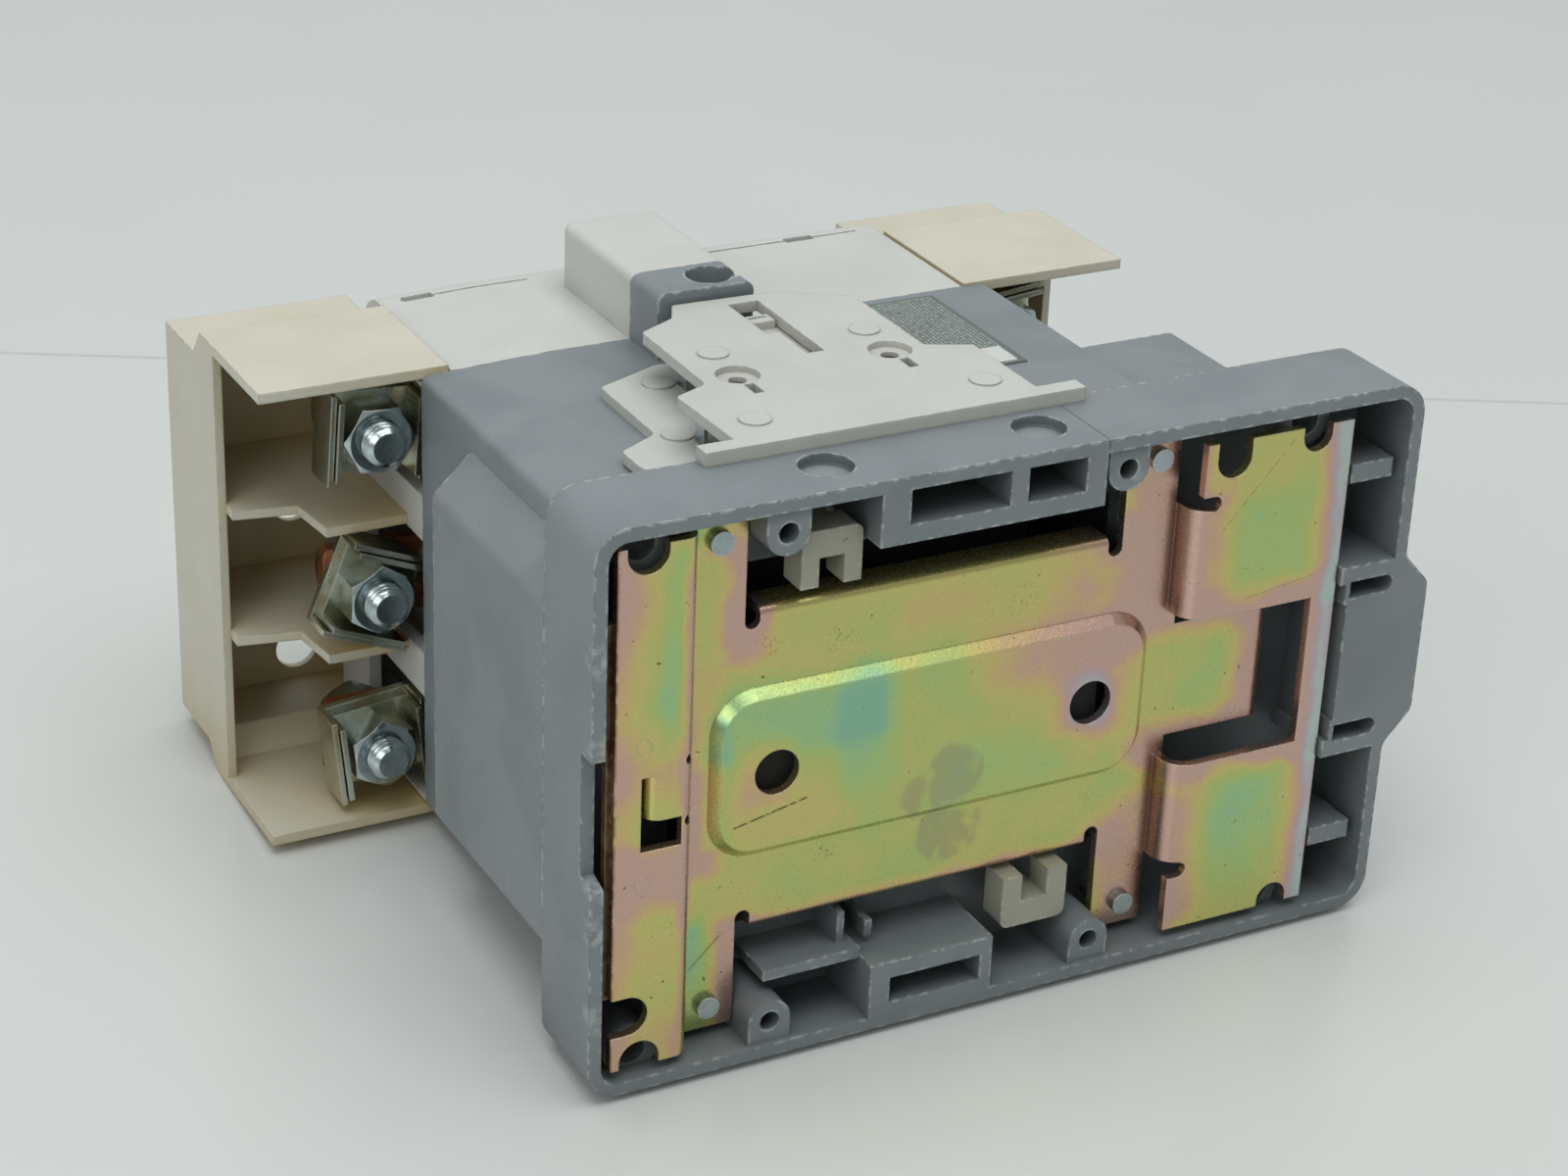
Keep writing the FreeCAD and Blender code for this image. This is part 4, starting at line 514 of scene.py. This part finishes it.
# Each patch: centre x and z, half width and height, soft margin, and how much thicker the film is there.
film_patches = (
    ((54.0, 15.5), (16.0, 0.8), 5.0, -0.28), ((54.0, -16.0), (16.0, 0.8), 4.0, -0.22),
    ((44.0, 12.0), (16.0, 0.5), 6.0, -0.30), ((50.0, -12.0), (15.0, 0.5), 6.0, -0.42),
    ((60.5, 0.0), (1.5, 12.0), 8.0, -0.5), ((43.5, 31.0), (1.5, 17.0), 5.0, -0.24),
    ((43.5, -30.0), (1.5, 14.0), 5.0, -0.24), ((36.0, 31.0), (2.0, 15.0), 8.0, -0.32),
    ((36.5, -36.0), (2.5, 11.0), 7.0, -0.32), ((29.0, 24.0), (6.0, 3.0), 9.0, -0.14),
    ((6.0, 23.5), (18.0, 1.0), 6.0, -0.12), ((-32.0, 9.5), (11.0, 2.5), 8.0, 0.26),
    ((-20.0, 4.0), (2.0, 8.0), 7.0, 0.18), ((-3.0, 8.0), (5.0, 3.0), 8.0, 0.12),
    ((17.0, 12.0), (12.0, 1.5), 9.0, -0.28), ((24.3, 0.0), (3.0, 3.0), 10.0, -0.24),
    ((-34.0, -8.0), (8.0, 2.0), 6.0, -0.14), ((10.0, -8.0), (10.0, 3.0), 8.0, 0.10),
    ((-49.5, 47.0), (4.0, 1.0), 5.0, 0.30), ((-43.0, 36.0), (0.6, 12.0), 6.0, -0.42),
    ((-43.2, -40.0), (0.6, 9.0), 5.0, -0.42), ((-50.5, -8.0), (1.0, 8.0), 6.0, -0.40),
    ((-50.0, 14.0), (1.0, 6.0), 5.0, -0.16), ((-69.0, 0.0), (0.6, 48.0), 6.0, -0.26),
    ((-54.6, 0.0), (0.5, 48.0), 3.0, -0.40), ((-61.0, -12.0), (6.0, 3.0), 6.0, -0.36),
    ((-62.0, 9.0), (5.0, 2.0), 8.0, -0.20), ((-65.0, 42.0), (3.0, 5.0), 8.0, -0.18),
    ((-60.0, -45.0), (6.0, 2.0), 9.0, -0.20), ((57.0, 29.0), (3.0, 3.0), 12.0, 0.10),
    ((54.0, -28.0), (2.0, 5.0), 12.0, 0.14), ((44.0, 43.0), (0.5, 3.0), 4.0, 0.25),
    ((-6.8, 30.6), (36.0, 0.4), 3.0, -0.12), ((-6.8, -30.6), (36.0, 0.5), 3.5, -0.34),
    ((-43.5, 30.0), (1.0, 1.0), 6.0, -0.20), ((29.5, 30.0), (1.0, 1.0), 6.0, -0.20),
    ((-43.5, -30.0), (1.0, 1.0), 5.0, -0.22), ((29.5, -30.0), (1.0, 1.0), 7.0, -0.24),
    ((-48.2, 43.8), (1.6, 1.6), 3.0, -0.30), ((35.4, -43.8), (1.6, 1.6), 4.0, -0.20),
    ((69.0, 0.0), (0.8, 60.0), 5.0, -0.32))
# Patches where the film runs out of that range: round the holes, along the free end and on two bevels.
rim_patches = (((24.3, 0.0), (1.5, 1.5), 6.5, -0.30), ((-39.0, 0.4), (3.0, 3.0), 5.5, -0.26),
               ((72.5, 0.0), (1.5, 60.0), 4.0, -0.26), ((-47.5, -1.0), (0.6, 11.0), 3.0, 0.28),
               ((-51.8, -38.0), (0.8, 9.0), 5.0, 0.34), ((-59.0, 28.0), (0.5, 17.0), 3.2, 0.20),
               ((-20.5, 8.0), (3.0, 3.0), 8.0, 0.09), ((53.5, -27.0), (1.0, 4.0), 8.0, 0.06))
# Dull fingermarks and small dark scribbles of scuffing: centre x and z, and radius.
finger_marks = ((-2.5, -8.0, 5.0), (-2.0, -20.0, 5.5), (-8.0, -11.0, 4.0))
scuff_places = (
    (9.9, 22.0, 4.2), (2.3, 21.0, 2.6), (-24.5, 21.4, 4.4), (-38.5, 23.3, 3.2), (-20.5, 17.6, 1.6),
    (-27.0, -19.0, 3.6), (-36.0, -27.0, 2.2), (-21.0, 8.6, 1.4), (26.0, -20.0, 2.4), (52.0, 22.0, 2.0),
    (36.5, 41.0, 2.0))
scratches = (((-44.6, -9.0), (-31.4, -6.2), 0.22, 0.8), ((46.0, 31.0), (59.0, 45.6), 0.12, 0.5),
             ((52.0, 16.6), (66.0, 18.6), 0.1, 0.4), ((-51.6, -36.0), (-45.4, -30.0), 0.22, 0.45))
# Where painted shade darkens the fold beside both raised sections, and the cut edge of the backing strip.
fold_x = 41.2
fold_y = (2.2, 5.2)
fold_z = (13.0, 16.0)
strip_edge_x = (-68.75, -68.3)

passivated, tree, shader = new_material("yellow_passivation")
spot = use_group(tree, part_place)
edges = use_group(tree, worn_edges, {"Reach": 0.0004, "Depth": 0.004})
flat_place = put(tree, "ShaderNodeCombineXYZ", {"X": spot["X"], "Y": 0.0, "Z": spot["Z"]}).outputs[0]

# Distance outside a rectangle in the plane of the plate, turned into a patch that fades over its margin.
film_patch, take, give = shader_group("film_patch", {"Place": "vector", "Centre": "vector", "Half": "vector",
                                                     "Margin": "float", "Change": "float"}, {"Film": "float"})
gap = put(film_patch, "ShaderNodeVectorMath", {0: take["Place"], 1: take["Centre"]},
          operation="SUBTRACT").outputs[0]
gap = put(film_patch, "ShaderNodeVectorMath", {0: gap}, operation="ABSOLUTE").outputs[0]
gap = put(film_patch, "ShaderNodeVectorMath", {0: gap, 1: take["Half"]}, operation="SUBTRACT").outputs[0]
gap = put(film_patch, "ShaderNodeVectorMath", {0: gap, 1: (0, 0, 0)}, operation="MAXIMUM").outputs[0]
gap = put(film_patch, "ShaderNodeVectorMath", {0: gap}, operation="LENGTH").outputs["Value"]
fade = reckon(film_patch, "SUBTRACT", 1.0, ramp_up(film_patch, gap, 0.0, take["Margin"]))
film_patch.links.new(reckon(film_patch, "MULTIPLY", fade, take["Change"]), give["Film"])

sway = put(tree, "ShaderNodeTexNoise", {"Vector": flat_place, "Scale": 0.12, "Detail": 3.0}).outputs["Color"]
sway = put(tree, "ShaderNodeVectorMath", {0: sway, 1: (0.5, 0.5, 0.5)}, operation="SUBTRACT").outputs[0]
sway = put(tree, "ShaderNodeVectorMath", {0: sway, 1: (4.0, 0.0, 4.0)}, operation="MULTIPLY").outputs[0]
swayed = put(tree, "ShaderNodeVectorMath", {0: flat_place, 1: sway}, operation="ADD").outputs[0]
film = reckon(tree, "MULTIPLY_ADD", cloud(tree, flat_place, 0.03, 2.0, 0.4), 0.5, 0.32)
flecked = reckon(tree, "MULTIPLY_ADD", cloud(tree, flat_place, 0.11, 4.0, 0.5), 0.3, -0.15)
film = reckon(tree, "ADD", film, flecked)


def add_patches(film, patches):
    """Film value with each patch's change added."""
    for (x, z), (half_x, half_z), margin, change in patches:
        patch = use_group(tree, film_patch, {
            "Place": swayed, "Centre": (x, 0, z), "Half": (half_x, 1000, half_z), "Margin": margin,
            "Change": change})
        film = reckon(tree, "ADD", film, patch["Film"])
    return film


film = add_patches(film, film_patches)
film = reckon(tree, "SMOOTH_MAX", film, film_least, 0.12)
film = reckon(tree, "SMOOTH_MIN", film, film_most, 0.12)
film = add_patches(film, rim_patches)
ramp = put(tree, "ShaderNodeValToRGB", {"Fac": film})
ramp.color_ramp.interpolation = "B_SPLINE"
while len(ramp.color_ramp.elements) < len(film_colours):
    ramp.color_ramp.elements.new(1.0)
for stop, (level, chip) in zip(ramp.color_ramp.elements, film_colours):
    stop.position = level
    stop.color = paint(*chip)
tree.links.new(ramp.outputs["Color"], shader.inputs["Base Color"])
# Painted shade on the dark side of the fold, beside both raised sections.
fold_painted_shade = both(tree, stripe(tree, spot["X"], fold_x, half=1.2, soft=2.2), ramp_up(tree, spot["Y"], *fold_y),
               ramp_up(tree, reckon(tree, "ABSOLUTE", spot["Z"]), *fold_z))
mark(tree, shader, reckon(tree, "MULTIPLY", fold_painted_shade, 0.7), paint(118, 92, 78))
bare = reckon(tree, "ADD", cloud(tree, spot["Place"], 0.9, 4.0), 0.1)
bare = ramp_up(tree, both(tree, edges["Edge"], bare), 0.25, 0.6)
mark(tree, shader, reckon(tree, "MULTIPLY", bare, 0.5), paint(214, 204, 190))
strip_side = reckon(tree, "SUBTRACT", 1.0, ramp_up(tree, spot["X"], *strip_edge_x))
rust = reckon(tree, "MULTIPLY", strip_side, ramp_up(tree, cloud(tree, spot["Place"], 0.5, 4.0), 0.3, 0.55))
mark(tree, shader, reckon(tree, "MULTIPLY", rust, 0.7), paint(132, 84, 54))
dulled = None
for x, z, radius in finger_marks:
    print_edge = near_place(tree, swayed, (x, 0, z), radius, soft=1.5)
    dulled = print_edge if dulled is None else reckon(tree, "MAXIMUM", dulled, print_edge)
dulled = both(tree, dulled, ramp_up(tree, cloud(tree, flat_place, 0.16, 2.0), 0.36, 0.5), 0.36)
mark(tree, shader, dulled, paint(176, 158, 148))
wander = cloud(tree, spot["Place"], 0.9, 2.0, 1.5)
off_line = reckon(tree, "ABSOLUTE", reckon(tree, "SUBTRACT", wander, 0.5))
scribble = reckon(tree, "SUBTRACT", 1.0, ramp_up(tree, off_line, 0.006, 0.03))
broken = ramp_up(tree, cloud(tree, spot["Place"], 1.4, 3.0), 0.5, 0.62)
scuffed = None
for x, z, radius in scuff_places:
    ring = near_place(tree, flat_place, (x, 0, z), radius * 0.4, radius * 0.7)
    scuffed = ring if scuffed is None else reckon(tree, "MAXIMUM", scuffed, ring)
loose_speck = ramp_up(tree, cloud(tree, spot["Place"], 0.75, 2.0), 0.74, 0.765)
loose_speck = reckon(tree, "MULTIPLY", loose_speck, 0.8)
dark_marks = reckon(tree, "MAXIMUM", both(tree, scuffed, scribble, broken), loose_speck)
mark(tree, shader, reckon(tree, "MULTIPLY", dark_marks, 0.8), paint(52, 50, 36))
for (x0, z0), (x1, z1), half, strength in scratches:
    along = Vector((x1 - x0, 0, z1 - z0))
    run = along.length
    along.normalize()
    start = put(tree, "ShaderNodeVectorMath", {0: flat_place, 1: (x0, 0, z0)},
                operation="SUBTRACT").outputs[0]
    gone = put(tree, "ShaderNodeVectorMath", {0: start, 1: along}, operation="DOT_PRODUCT").outputs["Value"]
    side = put(tree, "ShaderNodeVectorMath", {0: start, 1: (-along.z, 0, along.x)},
               operation="DOT_PRODUCT").outputs["Value"]
    line = both(tree, stripe(tree, side, 0.0, half * 0.4, half), stripe(tree, gone, run / 2, run / 2, 0.6))
    line = both(tree, line, ramp_up(tree, cloud(tree, spot["Place"], 0.8, 3.0), 0.3, 0.55))
    mark(tree, shader, reckon(tree, "MULTIPLY", line, strength), paint(70, 60, 40))
grain = cloud(tree, spot["Place"], 1.5, 4.0)
rough = reckon(tree, "MULTIPLY_ADD", grain, 0.2, 0.17)
rough = reckon(tree, "ADD", rough, reckon(tree, "MULTIPLY", dulled, 0.5))
tree.links.new(rough, shader.inputs["Roughness"])
shader.inputs["Metallic"].default_value = 0.92
bump = put(tree, "ShaderNodeBump", {"Strength": 0.5, "Distance": 0.00003, "Height": grain,
                                    "Normal": edges["Normal"]})
tree.links.new(bump.outputs[0], shader.inputs["Normal"])
dress("mounting_plate", passivated)
dress("strip_rivets", passivated)

backing, *_ = plated("rusted_backing", paint(126, 112, 84), paint(104, 66, 42), paint(186, 176, 150),
                     paint(60, 36, 24), bloom=0.9, soil=0.8, gloss=0.45, metallic=0.7)
dress("backing_strip", backing)

# Core clips
# Two hooks moulded in beige plastic come through the base and hold the fixed core on its cushion.
# Each shows a U-shaped end beside the plate.
beige, *_ = moulded("beige_clip_moulding", paint(164, 164, 148), paint(148, 148, 132),
                    paint(206, 206, 192), paint(84, 80, 66), mottle=0.5, wear=0.6, soil=0.6, gloss=0.4)
dress("core_clip_upper", beige)
dress("core_clip_lower", beige)

# Label
# A thin printed film on the upper side: a dark field with fine pale ruling and a bare corner patch.
# The ruling is one row of broken dashes after another, parallel to the label's short side.
label_low, label_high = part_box("label_plate")
label_left, label_near = label_low.x * 1000, label_low.y * 1000
label_right, label_far = label_high.x * 1000, label_high.y * 1000
row_pitch = 0.82
field_margin = (0.7, 0.6)
corner_inset = (5.0, 4.6)
corner_half = (3.6, 3.4)
label_film, tree, shader = new_material("printed_label_film")
spot = use_group(tree, part_place)
row = reckon(tree, "FRACT", reckon(tree, "DIVIDE", spot["X"], row_pitch))
row = stripe(tree, row, 0.5, 0.16, 0.2)
row_number = reckon(tree, "FLOOR", reckon(tree, "DIVIDE", spot["X"], row_pitch))
dashes_place = put(tree, "ShaderNodeCombineXYZ", {"X": row_number, "Y": spot["Y"], "Z": 0.0}).outputs[0]
dashes = ramp_up(tree, cloud(tree, dashes_place, 2.6, 4.0), 0.4, 0.58)
field_half = ((label_right - label_left) / 2 - field_margin[0], (label_far - label_near) / 2 - field_margin[1])
field = both(tree, stripe(tree, spot["X"], (label_left + label_right) / 2, field_half[0], soft=0.1),
             stripe(tree, spot["Y"], (label_near + label_far) / 2, field_half[1], soft=0.1))
film_tone = lay_over(tree, both(tree, row, dashes, field), paint(92, 103, 98), paint(164, 174, 168))
corner = both(tree, stripe(tree, spot["X"], label_right - corner_inset[0], corner_half[0], soft=0.05),
              stripe(tree, spot["Y"], label_near + corner_inset[1], corner_half[1], soft=0.05))
film_tone = lay_over(tree, corner, film_tone, paint(206, 208, 204))
tree.links.new(film_tone, shader.inputs["Base Color"])
tree.links.new(reckon(tree, "MULTIPLY_ADD", cloud(tree, spot["Place"], 0.3, 3.0), 0.15, 0.3),
               shader.inputs["Roughness"])
dress("label_plate", label_film)

# Auxiliary contact block
# A flat white block on the upper side: a lower slab, an upper lid with wells and pads, and a slide between.
# Moulded in white plastic, dusty and faintly yellow along its edges.
aux_white, *_ = moulded("aux_white_moulding", paint(196, 198, 193), paint(182, 184, 176),
                        paint(222, 223, 218), paint(136, 128, 104), mottle=0.5, wear=0.45, soil=0.5, gloss=0.42)
for node in ("aux_base", "aux_cover", "aux_slider"):
    dress(node, aux_white)

# Terminal bolts
# Six hexagon-headed steel bolts with clear zinc plating, pushed through the bars from the front.
# Each end stands out of its nut, with a chamfered tip and a rolled thread.
thread_pitch = 0.00125
thread_depth = 0.0007
thread_radius = 0.004
tip_cut = 0.0011
tip_slope = 1.1
head_height = 0.0053
head_flats = 0.012
terminal_x = 65
pole_pitch = 31.7
pole_reach = 12
bolt_segments = 48
rows_a_turn = 10
head_rows = ((0.0, 0.0), (0.02, 0.75), (0.12, 1.0), (0.82, 1.0), (0.94, 0.72), (1.0, 0.35))


def hexagon_reach(angle, flats):
    """Distance from the centre to a hexagon's side at an angle."""
    turned = (math.degrees(angle) + 30) % 60 - 30
    return flats / 2 / math.cos(math.radians(turned))


def bolt_mesh(low, high):
    """Points and faces of one bolt along Y that fills the box of its solid, tip at the low end."""
    centre_x, centre_z = (low.x + high.x) / 2, (low.z + high.z) / 2
    tip, head_front = low.y, high.y
    head_back = head_front - head_height
    rows = []
    count = int((head_back - tip) / thread_pitch * rows_a_turn)
    for index in range(count + 1):
        y = tip + (head_back - tip) * index / count
        rim = min(thread_radius, thread_radius - tip_cut + (y - tip) * tip_slope)
        ring = []
        for step in range(bolt_segments):
            angle = 2 * math.pi * step / bolt_segments
            phase = ((y - tip) / thread_pitch - angle / (2 * math.pi)) % 1.0
            crest = abs(2 * phase - 1)
            thread = thread_radius - thread_depth + thread_depth * min(1.0, crest * 1.25)
            ring.append((min(rim, thread), angle, y))
        rows.append(ring)
    for share, fullness in head_rows:
        y = head_back + (head_front - head_back) * share
        ring = []
        for step in range(bolt_segments):
            angle = 2 * math.pi * step / bolt_segments
            corner = hexagon_reach(angle, head_flats)
            limit = head_flats / 2 * (0.93 + 0.23 * fullness)
            ring.append((min(corner, limit), angle, y))
        rows.append(ring)
    points = [(centre_x, tip, centre_z)]
    for ring in rows:
        points += [(centre_x + r * math.cos(a), y, centre_z + r * math.sin(a)) for r, a, y in ring]
    points.append((centre_x, head_front, centre_z))
    faces = []
    for step in range(bolt_segments):
        after = (step + 1) % bolt_segments
        faces.append((0, 1 + step, 1 + after))
        for row in range(len(rows) - 1):
            a = 1 + row * bolt_segments
            b = a + bolt_segments
            faces.append((a + step, b + step, b + after, a + after))
        last = 1 + (len(rows) - 1) * bolt_segments
        faces.append((last + step, len(points) - 1, last + after))
    return points, faces


fresh_zinc = paint(192, 203, 206)
bolt_zinc, *_ = plated("bolt_zinc", fresh_zinc, zinc_tint, zinc_bright, zinc_dirt,
                       bloom=0.6, soil=0.4, gloss=0.08, metallic=1.0)
bolt_solid = nodes["terminal_bolts"].data
places = []
bolt_points = [v.co.copy() for v in bolt_solid.vertices]
for end in sorted({round(p.x * 1000 / terminal_x) for p in bolt_points}):
    for pole in (-1, 0, 1):
        group = [p for p in bolt_points if round(p.x * 1000 / terminal_x) == end
                 and abs(p.z * 1000 - pole_pitch * pole) < pole_reach]
        low = Vector([min(p[i] for p in group) for i in range(3)])
        high = Vector([max(p[i] for p in group) for i in range(3)])
        places.append((low, high))
all_points, all_faces = [], []
for low, high in places:
    points, faces = bolt_mesh(low, high)
    all_faces += [tuple(index + len(all_points) for index in face) for face in faces]
    all_points += points
bolts = mesh_object("threaded_terminal_bolts", all_points, all_faces)
bolts.data.materials.append(bolt_zinc)
bolts.data.shade_smooth()
bolts.data.set_sharp_from_angle(angle=math.radians(35))
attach(bolts, "frame")
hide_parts("terminal_bolts")

# Terminal nuts and washers
# Hexagon nuts with a flat washer and two square washers with bent ears, which clamp a lug to its bar.
# All are zinc plated, the thin outer ears a little yellow.
nut_zinc, *_ = plated("nut_zinc", fresh_zinc, paint(152, 176, 168), zinc_bright, zinc_dirt,
                      bloom=0.7, soil=0.4, gloss=0.08, metallic=1.0)
washer_zinc, *_ = plated("washer_zinc", paint(206, 208, 194), paint(196, 190, 150), paint(236, 236, 226),
                         paint(104, 92, 62), bloom=0.8, soil=0.5, gloss=0.14, metallic=1.0)
dress("terminal_nuts", nut_zinc)
for node in ("clamp_washers", "saddle_washers", "head_washers"):
    dress(node, washer_zinc)

# Terminal shrouds
# A cream cup over each end's terminals, with a near and a far plate, two dividers and round tool holes.
# Moulded in cream plastic that has yellowed and collected brown dust inside, and painted a deeper brown shade
# in its hollows.
cream_tone = paint(206, 203, 188)
cream_shade = paint(196, 190, 168)
cream_rub = paint(226, 223, 208)
cream_dirt = paint(110, 86, 48)
cream_painted_shade = paint(192, 164, 98)
shroud_cream, tree, shader, spot, edges = moulded("shroud_cream_moulding", cream_tone, cream_shade, cream_rub,
                                                  cream_dirt, mottle=0.6, wear=0.5, soil=0.22, gloss=0.34,
                                                  depth=0.02)
# Painted shade: the hollows inside the cup are darkened to a deep brown by the hollow mask.
mark(tree, shader, ramp_up(tree, edges["Hollow"], 0.2, 0.85), cream_painted_shade)
dress("line_shroud", shroud_cream)
dress("load_shroud", shroud_cream)

low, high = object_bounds()
